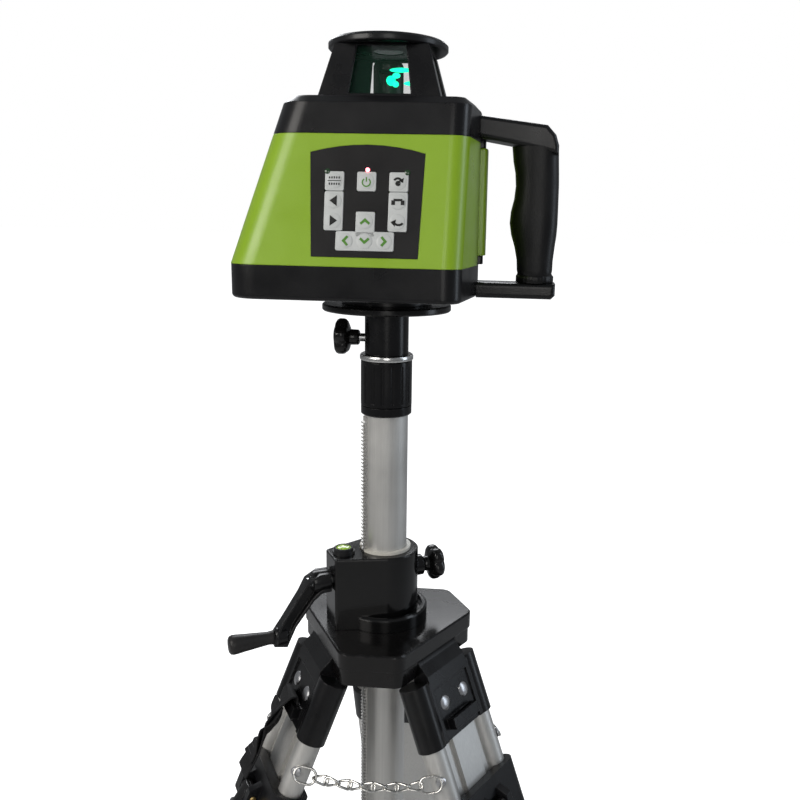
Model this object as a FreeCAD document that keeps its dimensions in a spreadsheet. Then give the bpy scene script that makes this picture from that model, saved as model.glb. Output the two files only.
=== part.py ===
"""Rotary laser level on a rack-and-crank elevating tripod, in millimetres.

The frame stands on the floor: +Z up the column, origin on the floor under the column's axis,
-Y the side of the laser that carries its keypad, +X the side of its carrying handle.
Each sub-part is an object of one document, and writes parts/<label>.step.
"""
import FreeCAD, Part

import math
import os

import Sketcher

Vector = FreeCAD.Vector
Rotation = FreeCAD.Rotation
Placement = FreeCAD.Placement

SIZES = {
    # fits that many pieces share
    "running_gap": 0.05,
    "free_gap": 0.4,
    # column and head, from the floor up
    "hinge_height": 761.0,
    "platform_top": 782.0,
    "platform_thickness": 14.0,
    "base_plate_thickness": 14.0,
    "base_plate_inset": 1.5,
    "platform_flat": 57.5,
    "platform_nose": 73.0,
    "platform_corner_radius": 11.0,
    "housing_height": 62.7,
    "housing_radius": 28.0,
    "housing_face": 48.8,
    "housing_face_half": 13.0,
    "skirt_radius": 36.3,
    "skirt_height": 12.0,
    "column_radius": 18.0,
    "column_wall": 2.0,
    "column_bottom": 505.0,
    "column_top": 1000.0,
    "bush_radius": 21.2,
    "bush_length": 12.0,
    "bush_lip": 2.3,
    "rack_width": 8.0,
    "rack_length": 450.0,
    "rack_start": 510.0,
    "gear_module": 1.0,
    "seat_bottom": 962.0,
    "seat_height": 7.2,
    "seat_radius": 20.8,
    "twist_height": 37.3,
    "twist_radius": 20.9,
    "twist_ring_height": 5.2,
    "spigot_radius": 19.4,
    "inner_radius": 15.0,
    "inner_wall": 1.6,
    "inner_bottom": 640.0,
    "socket_radius": 17.75,
    "socket_top": 1046.8,
    "head_bore": 11.0,
    "disc_radius": 51.6,
    "disc_thickness": 5.5,
    "stud_radius": 7.94,
    "stud_engagement": 12.0,
    "knob_height": 1024.0,
    "spigot_length": 31.0,
    # drive
    "crank_height": 823.0,
    "pinion_teeth": 12.0,
    "pinion_width": 8.0,
    "bevel_radius": 9.0,
    "bevel_inner_share": 0.77,
    "shaft_radius": 5.0,
    "pinion_shaft_radius": 3.5,
    "crank_throw": 43.0,
    "grip_start": 88.0,
    "grip_length": 52.0,
    "grip_radius": 7.6,
    # legs
    "hinge_radius": 52.0,
    "leg_splay": 22.8,
    "hinge_pin_radius": 3.0,
    "knuckle_radius": 6.2,
    "knuckle_width": 52.0,
    "tube_radius": 10.0,
    "tube_wall": 1.4,
    "tube_spacing": 33.5,
    "tube_length": 560.0,
    "socket_wall": 2.2,
    "bracket_top": 13.0,
    "bracket_bottom": 65.0,
    "clamp_top": 111.0,
    "clamp_height": 44.0,
    "outer_tube_wall": 1.8,
    "lower_leg_end": 792.0,
    "lever_length": 54.0,
    "strap_width": 25.0,
    # laser
    "laser_bottom": 1060.0,
    "base_height": 24.6,
    "shell_height": 91.6,
    "cover_height": 26.8,
    "laser_left": 106.0,
    "laser_right": 63.0,
    "side_bulge": 72.0,
    "side_flat": 12.0,
    "laser_front": 82.0,
    "laser_corner": 24.0,
    "laser_handle_corner": 14.0,
    "left_slope": 0.311,
    "front_slope": 0.194,
    "shell_wall": 2.6,
    "boss_radius": 36.0,
    "handle_reach": 131.0,
    "handle_width": 30.0,
    "handle_bar": 12.0,
    "grip_offset": 117.0,
    "grip_core_radius": 6.0,
    "cage_foot": 44.7,
    "cage_head": 34.0,
    "cage_height": 38.6,
    "cage_wall": 3.0,
    "cap_radius": 45.3,
    "cap_thickness": 6.4,
    "cap_window_radius": 11.7,
    "rotor_radius": 11.5,
    "rotor_height": 29.0,
    "panel_top_half": 40.6,
    "panel_bottom_half": 37.8,
    "panel_half_height": 36.6,
    "panel_arc": 5.6,
    "panel_middle": 42.6,
    "panel_offset": 4.0,
    "key_size": 13.6,
    "key_pitch": 13.9,
    "key_columns": 22.7,
}

document = FreeCAD.newDocument("laser_level_on_tripod")
sheet = document.addObject("Spreadsheet::Sheet", "Sizes")


class Size:
    """A number together with the sheet formula that it comes from."""

    def __init__(self, number, formula):
        self.number = number
        self.formula = formula

    def __add__(self, other):
        other = as_size(other)
        return Size(self.number + other.number, f"({self.formula} + {other.formula})")

    def __sub__(self, other):
        other = as_size(other)
        return Size(self.number - other.number, f"({self.formula} - {other.formula})")

    def __mul__(self, factor):
        factor = as_size(factor)
        return Size(self.number * factor.number, f"({self.formula} * {factor.formula})")

    def __radd__(self, other):
        return as_size(other) + self

    def __rsub__(self, other):
        return as_size(other) - self

    def __rmul__(self, factor):
        return self * factor

    def __neg__(self):
        return self * -1

    def __float__(self):
        return float(self.number)


def as_size(value):
    if isinstance(value, Size):
        return value
    return Size(float(value), f"{float(value):.6f}")


class Sheet:
    """The driving sizes: one spreadsheet cell each, read back by name."""


size = Sheet()
for row, (alias, number) in enumerate(SIZES.items(), 1):
    sheet.set(f"A{row}", alias.replace("_", " "))
    sheet.set(f"B{row}", str(number))
    sheet.setAlias(f"B{row}", alias)
    setattr(size, alias, Size(number, f"Sizes.{alias}"))
document.recompute()

nodes = {}


def bind(target, name, value):
    """Sets a property to a size and ties it to the sheet."""
    value = as_size(value)
    setattr(target, name, value.number)
    target.setExpression(name, value.formula)


# ---- sketches and features ----

def new_body(label):
    body = document.addObject("PartDesign::Body", label)
    body.Label = label
    return body


def new_sketch(body, role, height=0.0):
    """A sketch on one of the body's origin planes, moved along the plane's normal."""
    sketch = body.newObject("Sketcher::SketchObject", f"{body.Name}_sketch")
    plane = [o for o in body.Origin.OriginFeatures if o.Role == role][0]
    sketch.AttachmentSupport = (plane, [""])
    sketch.MapMode = "FlatFace"
    height = as_size(height)
    sketch.AttachmentOffset = Placement(Vector(0, 0, height.number), Rotation())
    sketch.setExpression("AttachmentOffset.Base.z", height.formula)
    return sketch


def hold_point(sketch, edge, end, x, y):
    for kind, value in (("DistanceX", as_size(x)), ("DistanceY", as_size(y))):
        index = sketch.addConstraint(Sketcher.Constraint(kind, -1, 1, edge, end, value.number))
        sketch.setExpression(f"Constraints[{index}]", value.formula)


def draw_loop(sketch, corners):
    """A closed outline of straight lines through the corners."""
    first = sketch.GeometryCount
    count = len(corners)
    points = [Vector(float(x), float(y), 0) for x, y in corners]
    for i in range(count):
        sketch.addGeometry(Part.LineSegment(points[i], points[(i + 1) % count]))
    for i in range(count):
        after = first + (i + 1) % count
        sketch.addConstraint(Sketcher.Constraint("Coincident", first + i, 2, after, 1))
    for i, (x, y) in enumerate(corners):
        hold_point(sketch, first + i, 1, x, y)


def draw_circle(sketch, x, y, radius):
    radius = as_size(radius)
    circle = Part.Circle(Vector(float(x), float(y), 0), Vector(0, 0, 1), radius.number)
    edge = sketch.addGeometry(circle)
    hold_point(sketch, edge, 3, x, y)
    index = sketch.addConstraint(Sketcher.Constraint("Radius", edge, radius.number))
    sketch.setExpression(f"Constraints[{index}]", radius.formula)


def draw_box(sketch, x_low, x_high, y_low, y_high):
    draw_loop(sketch, [(x_low, y_low), (x_high, y_low), (x_high, y_high), (x_low, y_high)])


def feature(body, kind, sketch, length=None, both_ways=False, backwards=False):
    """A Pad or a Pocket of one sketch. No length cuts through everything."""
    made = body.newObject(f"PartDesign::{kind}", f"{body.Name}_{kind.lower()}")
    made.Profile = sketch
    if length is None:
        made.Type = "ThroughAll"
    else:
        bind(made, "Length", length)
    made.SideType = "Symmetric" if both_ways else "One side"
    made.Reversed = backwards
    document.recompute()
    return made


def pad(body, sketch, length, both_ways=False, backwards=False):
    return feature(body, "Pad", sketch, length, both_ways, backwards)


def pocket(body, sketch, length=None, both_ways=False, backwards=False):
    """Cuts, and makes sure that the cut took something away."""
    before = body.Tip.Shape.Volume
    made = feature(body, "Pocket", sketch, length, both_ways, backwards)
    if made.Shape.Volume > before - 1e-6:
        raise RuntimeError(f"{body.Label}: a pocket cut nothing")
    return made


def revolve(body, profile, kind="Revolution"):
    """Turns an outline of (radius, height) corners about the body's Z axis."""
    sketch = new_sketch(body, "XZ_Plane")
    draw_loop(sketch, profile)
    made = body.newObject(f"PartDesign::{kind}", f"{body.Name}_turned")
    made.Profile = sketch
    made.ReferenceAxis = (sketch, ["V_Axis"])
    made.Angle = 360.0
    document.recompute()
    return made


def dress(body, kind, amount, chosen):
    """A Fillet or Chamfer on the tip's edges that the test picks."""
    document.recompute()
    tip = body.Tip
    names = [f"Edge{i}" for i, edge in enumerate(tip.Shape.Edges, 1) if chosen(edge)]
    if not names:
        raise RuntimeError(f"{body.Label}: no edge to {kind}")
    made = body.newObject(f"PartDesign::{kind}", f"{body.Name}_{kind.lower()}")
    made.Base = (tip, names)
    bind(made, "Radius" if kind == "Fillet" else "Size", amount)
    document.recompute()
    return made


def polar_copies(body, source, count):
    made = body.newObject("PartDesign::PolarPattern", f"{body.Name}_pattern")
    made.Originals = [source]
    axis = [o for o in body.Origin.OriginFeatures if o.Role == "Z_Axis"][0]
    made.Axis = (axis, [""])
    made.Angle = 360.0
    made.Occurrences = count
    body.Tip = made
    document.recompute()
    return made


def solid(label, shape):
    """A sub-part whose shape is made with Part's own functions."""
    made = document.addObject("Part::Feature", label)
    made.Label = label
    made.Shape = shape
    return made


def cut(label, base, tools):
    """base without the tools, as one Part::Cut after another."""
    for tool in tools:
        made = document.addObject("Part::Cut", label)
        made.Base = base
        made.Tool = tool
        document.recompute()
        base = made
    made.Label = label
    return made


def node(name, made, place=None):
    made.Label = name
    if place is not None:
        made.Placement = place
    nodes[name] = made
    return made


def is_upright(edge):
    ends = [v.Point for v in edge.Vertexes]
    if len(ends) < 2:
        return False
    along = ends[1] - ends[0]
    return along.Length > 1e-6 and abs(along.z) / along.Length > 0.9


def lies_at(edge, height):
    heights = [v.Z for v in edge.Vertexes] + [edge.CenterOfMass.z]
    return all(abs(z - float(height)) < 0.01 for z in heights)


def about_z(degrees):
    return Placement(Vector(0, 0, 0), Rotation(Vector(0, 0, 1), degrees))


def round_bar(radius, start, end):
    """A cylinder between two points."""
    along = end - start
    return Part.makeCylinder(radius, along.Length, start, along)


# ---- directions that the layout hangs on ----

LEG_DIRECTIONS = {"a": 210.0, "b": 330.0, "c": 90.0}
DRIVE_DIRECTION = 210.0
NOSE_DIRECTIONS = (270.0, 30.0, 150.0)
PIN_BORE_SIDES = {"a": 1, "b": -1, "c": 1}

platform_bottom = size.platform_top - size.platform_thickness
base_plate_bottom = platform_bottom - size.base_plate_thickness
housing_top = size.platform_top + size.housing_height
drive_place = about_z(DRIVE_DIRECTION)
hinge_pin_half = size.knuckle_width * 0.5 + 9
rack_pitch_line = size.column_radius + 1.9 * size.gear_module
pinion_pitch_radius = size.gear_module * size.pinion_teeth * 0.5
pinion_offset = rack_pitch_line + pinion_pitch_radius
rack_tip = rack_pitch_line + 0.7 * size.gear_module
rack_root = rack_pitch_line - 1.15 * size.gear_module


def platform_outline(inset):
    """Triangle with its corners cut off: two points for each nose."""
    flat = size.platform_flat - inset
    nose = size.platform_nose - inset
    half = (flat - nose * 0.5) * (1 / math.sin(math.radians(60)))
    corners = []
    for direction in NOSE_DIRECTIONS:
        c, s = math.cos(math.radians(direction)), math.sin(math.radians(direction))
        for side in (-1, 1):
            corners.append((nose * c - half * (side * s), nose * s + half * (side * c)))
    return corners


def radial_corners(direction, near, far, half_low, half_high):
    """A rectangle that runs outward in a direction, from near to far."""
    c, s = math.cos(math.radians(direction)), math.sin(math.radians(direction))
    marks = [(near, half_low), (far, half_low), (far, half_high), (near, half_high)]
    return [(as_size(r) * c - as_size(w) * s, as_size(r) * s + as_size(w) * c) for r, w in marks]


# ---- platform ----

def make_platform():
    body = new_body("platform_top")
    sketch = new_sketch(body, "XY_Plane", platform_bottom)
    draw_loop(sketch, platform_outline(0))
    pad(body, sketch, size.platform_thickness)
    dress(body, "Fillet", size.platform_corner_radius, is_upright)
    dress(body, "Chamfer", 1.2, lambda e: lies_at(e, size.platform_top))
    sketch = new_sketch(body, "XY_Plane", platform_bottom)
    draw_circle(sketch, 0, 0, size.bush_radius + 1.5)
    pocket(body, sketch, backwards=True)
    node("platform_top", body)

    body = new_body("platform_base")
    sketch = new_sketch(body, "XY_Plane", base_plate_bottom)
    draw_loop(sketch, platform_outline(size.base_plate_inset))
    pad(body, sketch, size.base_plate_thickness)
    dress(body, "Fillet", size.platform_corner_radius - size.base_plate_inset, is_upright)
    sketch = new_sketch(body, "XY_Plane", base_plate_bottom)
    draw_circle(sketch, 0, 0, size.bush_radius)
    pocket(body, sketch, backwards=True)
    half_notch = size.knuckle_width * 0.5 + size.free_gap
    notch_depth = size.hinge_radius - size.knuckle_radius - 2 * size.free_gap
    for direction in LEG_DIRECTIONS.values():
        sketch = new_sketch(body, "XY_Plane", base_plate_bottom)
        reach = size.platform_nose
        draw_loop(sketch, radial_corners(direction, notch_depth, reach, -half_notch, half_notch))
        pocket(body, sketch, size.base_plate_thickness, backwards=True)
    pins = document.addObject("Part::MultiFuse", "hinge_pin_bores")
    bores = []
    for name, direction in LEG_DIRECTIONS.items():
        # each bore ends blind on the side that faces the front nose
        side = PIN_BORE_SIDES[name]
        bore = document.addObject("Part::Cylinder", f"pin_bore_{name}")
        bind(bore, "Radius", size.hinge_pin_radius)
        bind(bore, "Height", size.platform_nose * 2)
        turn = about_z(direction - 90)
        along = Placement(Vector(0, 0, 0), Rotation(Vector(0, 1, 0), 90 * side))
        start = Vector(-float(hinge_pin_half) * side, float(size.hinge_radius),
                       float(size.hinge_height))
        bore.Placement = turn * Placement(start, Rotation()) * along
        bores.append(bore)
    pins.Shapes = bores
    whole = cut("platform_base_bored", body, [pins])
    body.Label = "platform_base_blank"
    node("platform_base", whole)


def make_hinge_pins():
    """Three plain pins with a head at one end, one along each side of the platform."""
    shapes = []
    for direction in LEG_DIRECTIONS.values():
        turn = about_z(direction - 90)
        middle = Vector(0, float(size.hinge_radius), float(size.hinge_height))
        across = Vector(float(hinge_pin_half), 0, 0)
        pin = round_bar(float(size.hinge_pin_radius), middle - across, middle + across)
        pin.Placement = turn
        shapes.append(pin)
    node("leg_hinge_pins", solid("leg_hinge_pins", Part.makeCompound(shapes)))


# ---- crank housing and what it guides ----

def make_housing():
    blank = new_body("crank_housing_blank")
    sketch = new_sketch(blank, "XY_Plane", size.platform_top)
    draw_circle(sketch, 0, 0, size.housing_radius)
    pad(blank, sketch, size.housing_height)
    c, s = math.cos(math.radians(75)), math.sin(math.radians(75))
    corners = [
        (size.housing_radius * c, size.housing_radius * -s),
        (size.housing_face, -size.housing_face_half),
        (size.housing_face, size.housing_face_half),
        (size.housing_radius * c, size.housing_radius * s),
    ]
    sketch = new_sketch(blank, "XY_Plane", size.platform_top)
    draw_loop(sketch, corners)
    pad(blank, sketch, size.housing_height)
    face = float(size.housing_face)
    dress(blank, "Fillet", 2.5, lambda e: is_upright(e) and abs(e.Vertexes[0].X - face) < 0.1)
    dress(blank, "Chamfer", 1.0, lambda e: lies_at(e, housing_top))
    skirt = size.skirt_radius
    skirt_top = size.platform_top + size.skirt_height
    revolve(blank, [
        (size.housing_radius - 3, size.platform_top),
        (skirt, size.platform_top),
        (skirt, skirt_top - 1.5),
        (skirt - 1.5, skirt_top),
        (skirt - 4.3, skirt_top),
        (skirt - 4.3, skirt_top - 5),
        (size.housing_radius - 3, skirt_top - 5),
    ])
    sketch = new_sketch(blank, "YZ_Plane", -size.housing_radius + 6)
    draw_circle(sketch, 0, size.crank_height, 9)
    pad(blank, sketch, 11.5, backwards=True)
    sketch = new_sketch(blank, "XY_Plane", size.platform_top)
    draw_circle(sketch, 0, 0, size.column_radius + 1.2)
    pocket(blank, sketch, backwards=True)
    sketch = new_sketch(blank, "XY_Plane", housing_top - size.bush_length)
    draw_circle(sketch, 0, 0, size.bush_radius)
    pocket(blank, sketch, size.bush_length, backwards=True)
    sketch = new_sketch(blank, "XY_Plane", size.platform_top)
    half_slot = size.rack_width * 0.5 + 1
    draw_box(sketch, 0, rack_tip + 1, -half_slot, half_slot)
    pocket(blank, sketch, backwards=True)
    # gear room, in two boxes
    room = size.bevel_radius + 1.8
    low, high = size.crank_height - room, size.crank_height + room
    sketch = new_sketch(blank, "XZ_Plane")
    draw_box(sketch, 15, pinion_offset + 10.5, low, high)
    pocket(blank, sketch, size.bevel_radius + 3.8)
    sketch = new_sketch(blank, "XZ_Plane")
    draw_box(sketch, 15, pinion_offset + 10.5, low, high)
    pocket(blank, sketch, size.pinion_width * 0.5 + 1, backwards=True)
    sketch = new_sketch(blank, "XZ_Plane")
    draw_box(sketch, pinion_offset + 4, pinion_offset + 12.5, low, high)
    pocket(blank, sketch, room * 2, both_ways=True)
    # shaft bores
    sketch = new_sketch(blank, "YZ_Plane", pinion_offset)
    draw_circle(sketch, 0, size.crank_height, size.shaft_radius + size.running_gap)
    pocket(blank, sketch, backwards=True)
    sketch = new_sketch(blank, "XZ_Plane")
    bore = size.pinion_shaft_radius + size.running_gap
    draw_circle(sketch, pinion_offset, size.crank_height, bore)
    pocket(blank, sketch, 36, both_ways=True)
    # lock screw bore and the clamp slit above it
    sketch = new_sketch(blank, "YZ_Plane", 0)
    draw_circle(sketch, 0, size.crank_height, 4 + size.running_gap)
    pocket(blank, sketch)
    node("crank_housing", blank, drive_place)


def bush(bottom, length, lip, outer):
    """A guide ring round the column, notched where the rack passes."""
    inner = float(size.column_radius + size.running_gap)
    ring = Part.makeCylinder(outer, length, Vector(0, 0, bottom))
    if lip > 0:
        ring = ring.fuse(Part.makeCylinder(outer + 0.4, lip, Vector(0, 0, bottom + length)))
    ring = ring.cut(Part.makeCylinder(inner, length + lip + 2, Vector(0, 0, bottom - 1)))
    half = float(size.rack_width) / 2 + 0.8
    notch = Part.makeBox(outer + 2, 2 * half, length + lip + 2, Vector(0, -half, bottom - 1))
    ring = ring.cut(notch)
    ring.Placement = drive_place
    return ring


def make_bushes():
    top = bush(float(housing_top - size.bush_length), float(size.bush_length),
               float(size.bush_lip), float(size.bush_radius))
    low = bush(float(base_plate_bottom), float(size.bush_length), 0.0, float(size.bush_radius))
    node("column_bushes", solid("column_bushes", Part.makeCompound([top, low])))


def make_level():
    """Round bubble level on the housing's top, above the crank shaft."""
    place = drive_place * Placement(Vector(37.2, 0, 0), Rotation())
    body = new_body("level_bezel")
    revolve(body, [
        (0, housing_top), (9.2, housing_top), (9.2, housing_top + 2.4), (8.2, housing_top + 2.4),
        (8.2, housing_top + 4.6), (7.2, housing_top + 5.2), (6.6, housing_top + 5.2),
        (6.6, housing_top + 1), (0, housing_top + 1),
    ])
    node("level_bezel", body, place)
    body = new_body("level_vial")
    revolve(body, [
        (0, housing_top + 1), (6.6, housing_top + 1), (6.6, housing_top + 4.6),
        (5.4, housing_top + 5.6), (0, housing_top + 6.1),
    ])
    node("level_vial", body, place)


# ---- column ----

def make_column():
    body = new_body("column_tube")
    outer, inner = size.column_radius, size.column_radius - size.column_wall
    revolve(body, [
        (inner, size.column_bottom), (outer, size.column_bottom),
        (outer, size.column_top), (inner, size.column_top),
    ])
    sketch = new_sketch(body, "XY_Plane", size.rack_start)
    half = size.rack_width * 0.5
    draw_box(sketch, rack_root - 1.3, outer + 5, -half, half)
    pocket(body, sketch, size.rack_length, backwards=True)
    node("column_tube", body, drive_place)

    module = float(size.gear_module)
    pitch = math.pi * module
    root, tip, line = float(rack_root), float(rack_tip), float(rack_pitch_line)
    thickness = pitch / 2 - 0.14 * module
    lean = math.tan(math.radians(20))
    start, length = float(size.rack_start), float(size.rack_length)
    back = root - 1.3
    edge = -float(size.rack_width) / 2
    phase = float(size.crank_height) % pitch
    outline = [Vector(back, edge, start), Vector(root, edge, start)]
    teeth = int(length / pitch) - 1
    first = start + pitch - (start - phase) % pitch
    for i in range(teeth):
        middle = first + i * pitch
        for side in (-1, 1):
            foot = Vector(root, edge, middle + side * (thickness / 2 + (line - root) * lean))
            head = Vector(tip, edge, middle + side * (thickness / 2 - (tip - line) * lean))
            outline += [foot, head] if side < 0 else [head, foot]
    outline += [Vector(root, edge, start + length), Vector(back, edge, start + length)]
    face = Part.Face(Part.makePolygon(outline + [outline[0]]))
    rack = face.extrude(Vector(0, float(size.rack_width), 0))
    node("column_rack", solid("column_rack", rack), drive_place)

    body = new_body("collar_seat")
    ring_top = size.seat_bottom + size.seat_height
    spigot_top = ring_top + size.twist_height - 3
    revolve(body, [
        (outer, size.seat_bottom), (size.seat_radius - 0.8, size.seat_bottom),
        (size.seat_radius, size.seat_bottom + 0.8), (size.seat_radius, ring_top),
        (size.spigot_radius, ring_top), (size.spigot_radius, spigot_top),
        (size.inner_radius + size.running_gap, spigot_top),
        (size.inner_radius + size.running_gap, size.column_top),
        (outer, size.column_top),
    ])
    node("collar_seat", body)


def make_twist_collar():
    """Ribbed collar that squeezes the inner column, with a bright ring on its top."""
    ring_top = size.seat_bottom + size.seat_height
    low = ring_top + 0.3
    high = ring_top + size.twist_height
    inner = size.spigot_radius + size.running_gap
    throat = size.inner_radius + size.running_gap
    body = new_body("twist_collar")
    revolve(body, [
        (inner, low), (size.twist_radius - 0.6, low), (size.twist_radius, low + 0.6),
        (size.twist_radius, high - 0.6), (size.twist_radius - 0.6, high), (throat, high),
        (throat, high - 2.6), (inner, high - 2.6),
    ])
    sketch = new_sketch(body, "XY_Plane", low + 3)
    draw_circle(sketch, size.twist_radius + 0.9, 0, 1.7)
    flute = pocket(body, sketch, size.twist_height - 6.6, backwards=True)
    polar_copies(body, flute, 16)
    node("twist_collar", body)
    return high


def make_inner_column(collar_top):
    ring_top = collar_top + size.twist_ring_height
    body = new_body("inner_column")
    outer, inner = size.inner_radius, size.inner_radius - size.inner_wall
    revolve(body, [
        (inner, size.inner_bottom), (outer, size.inner_bottom),
        (outer, ring_top + 2), (inner, ring_top + 2),
    ])
    node("inner_column", body)

    body = new_body("head_socket")
    bore = size.head_bore
    low = collar_top + 0.3
    revolve(body, [
        (outer, low), (size.bush_radius - 0.7, low), (size.bush_radius, low + 0.7),
        (size.bush_radius, ring_top - 0.7), (size.bush_radius - 0.7, ring_top),
        (size.socket_radius, ring_top), (size.socket_radius, size.socket_top - 0.3),
        (bore, size.socket_top - 0.3), (bore, ring_top + 2), (outer, ring_top + 2),
    ])
    sketch = new_sketch(body, "YZ_Plane", 0)
    draw_circle(sketch, 0, size.knob_height, 3.5 + size.running_gap)
    pocket(body, sketch)
    node("head_socket", body)
    return ring_top


def make_head():
    top = size.socket_top + size.disc_thickness
    spigot = size.head_bore - size.running_gap
    spigot_end = size.socket_top - size.spigot_length
    body = new_body("head_disc")
    revolve(body, [
        (0, spigot_end), (spigot - 1, spigot_end),
        (spigot, spigot_end + 1), (spigot, size.socket_top),
        (size.disc_radius - 1, size.socket_top), (size.disc_radius, size.socket_top + 1),
        (size.disc_radius, top - 1), (size.disc_radius - 1, top),
        (size.stud_radius, top), (size.stud_radius, size.socket_top - 10),
        (0, size.socket_top - 10),
    ])
    node("head_disc", body)
    body = new_body("mount_stud")
    high = size.laser_bottom + size.stud_engagement - 3
    revolve(body, [
        (0, size.socket_top - 10), (size.stud_radius, size.socket_top - 10),
        (size.stud_radius, high - 1.5), (size.stud_radius - 1.5, high), (0, high),
    ])
    node("mount_stud", body)


def lobed_knob(label, place, screw_radius, screw_length, hub_length, lobe_radius, thickness):
    """A clamp knob whose lobes stand round its rim, on a bright screw that points along -Z."""
    body = new_body(label)
    radius = as_size(screw_radius)
    low = as_size(screw_length)
    revolve(body, [
        (0, 0), (radius, 0), (radius, low), (6, low), (6.4, low + hub_length),
        (lobe_radius - 2.4, low + hub_length), (lobe_radius - 1.2, low + hub_length + 1.4),
        (lobe_radius - 1.2, low + hub_length + thickness - 1.8),
        (lobe_radius - 3.6, low + hub_length + thickness), (0, low + hub_length + thickness),
    ])
    sketch = new_sketch(body, "XY_Plane", low + hub_length - 1)
    draw_circle(sketch, lobe_radius + 2.2, 0, 4.6)
    scallop = pocket(body, sketch, thickness + 2, backwards=True)
    polar_copies(body, scallop, 6)
    return node(label, body, place)


def make_knobs():
    tip = size.head_bore + 0.1
    place = Placement(Vector(-float(tip), 0, float(size.knob_height)),
                      Rotation(Vector(0, 1, 0), -90))
    lobed_knob("head_knob", place, 3.5, 11.4, 7.5, 15, 12)
    turn = about_z(DRIVE_DIRECTION + 180)
    reach = size.column_radius + 0.1
    place = turn * Placement(Vector(float(reach), 0, float(size.crank_height)),
                             Rotation(Vector(0, 1, 0), 90))
    lobed_knob("column_lock_knob", place, 4, 17, 5, 15.5, 12)


# ---- drive ----

def tooth_outline(teeth, module):
    """An involute gear outline, thinned for backlash, with radial roots under the base circle."""
    pitch = module * teeth / 2
    base = pitch * math.cos(math.radians(20))
    tip, root = pitch + 0.9 * module, pitch - 1.2 * module
    half_pitch_angle = (math.pi / 2 - 0.16) / teeth
    involute_at_pitch = math.tan(math.acos(base / pitch)) - math.acos(base / pitch)
    points = []
    steps = 4
    for i in range(teeth):
        middle = 2 * math.pi * (i + 0.5) / teeth
        flank = []
        for k in range(steps + 1):
            radius = base + (tip - base) * k / steps
            angle = math.acos(min(1.0, base / radius))
            half = half_pitch_angle + involute_at_pitch - (math.tan(angle) - angle)
            flank.append((radius, half))
        flank.insert(0, (root, flank[0][1] + 0.02))
        left = [(r, middle - h) for r, h in flank]
        right = [(r, middle + h) for r, h in reversed(flank)]
        points += left + right
    return [Vector(r * math.cos(a), r * math.sin(a), 0) for r, a in points]


def bevel_gear(radius, teeth, bore_side):
    """Straight bevel gear whose cone tip is the origin and whose axis is +Z."""
    pitch_angle = math.radians(45)
    far = radius / math.sin(pitch_angle)
    near = far * float(size.bevel_inner_share)

    def ring(distance, outward):
        around = (distance * math.sin(pitch_angle), distance * math.cos(pitch_angle))
        return (around[0] + outward * math.cos(pitch_angle),
                around[1] - outward * math.sin(pitch_angle))

    root_near, root_far = ring(near, -near / far), ring(far, -1.0)
    profile = [
        Vector(0, 0, root_near[1]), Vector(root_near[0], 0, root_near[1]),
        Vector(root_far[0], 0, root_far[1]), Vector(root_far[0] - 2, 0, root_far[1] + 2.4),
        Vector(0, 0, root_far[1] + 2.4 + bore_side),
    ]
    face = Part.Face(Part.makePolygon(profile + [profile[0]]))
    gear = face.revolve(Vector(0, 0, 0), Vector(0, 0, 1), 360)
    teeth_shapes = []
    for distance_pair in [(near, far)]:
        wires = []
        for distance in distance_pair:
            scale = distance / far
            half = math.pi * radius / teeth / 2 * 0.8 * scale
            low_r, low_z = ring(distance, -1.3 * scale)
            high_r, high_z = ring(distance, 0.75 * scale)
            wires.append(Part.makePolygon([
                Vector(low_r, -half * 1.25, low_z), Vector(low_r, half * 1.25, low_z),
                Vector(high_r, half * 0.55, high_z), Vector(high_r, -half * 0.55, high_z),
                Vector(low_r, -half * 1.25, low_z),
            ]))
        tooth = Part.makeLoft(wires, True, True)
        for i in range(teeth):
            copy = tooth.copy()
            copy.rotate(Vector(0, 0, 0), Vector(0, 0, 1), 360 * (i + 0.5) / teeth)
            teeth_shapes.append(copy)
    return gear.fuse(teeth_shapes)


def make_drive():
    offset, height = float(pinion_offset), float(size.crank_height)
    radius = float(size.bevel_radius)
    module = float(size.gear_module)
    width = float(size.pinion_width)
    teeth = 16

    gear = bevel_gear(radius, teeth, 0.0)
    half_tooth = Placement(Vector(0, 0, 0), Rotation(Vector(0, 0, 1), 180 / teeth))
    lay = Placement(Vector(offset, 0, height), Rotation(Vector(0, 1, 0), 90))
    gear.Placement = lay * half_tooth
    shaft = round_bar(float(size.shaft_radius), Vector(offset + radius + 1.2, 0, height),
                      Vector(66, 0, height))
    nut = Part.makeCylinder(4, 3.2, Vector(66, 0, height), Vector(1, 0, 0))
    crank_shaft = shaft.fuse([gear, nut])
    node("crank_shaft", solid("crank_shaft", crank_shaft), drive_place)

    outline = tooth_outline(int(size.pinion_teeth.number), module)
    pinion = Part.Face(Part.makePolygon(outline + [outline[0]])).extrude(Vector(0, 0, width))
    # local frame of this shaft: Z along the housing's +Y, X towards the rack
    pinion.translate(Vector(0, 0, -width / 2))
    shaft = Part.makeCylinder(float(size.pinion_shaft_radius), 31, Vector(0, 0, -13.5))
    gear = bevel_gear(radius, teeth, 0.0)
    whole = shaft.fuse([pinion, gear])
    turn = Rotation(Vector(-1, 0, 0), Vector(0, 0, 1), Vector(0, 1, 0), "XZY")
    stand = Placement(Vector(offset, 0, height), turn)
    node("pinion_shaft", solid("pinion_shaft", whole), drive_place * stand)


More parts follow.
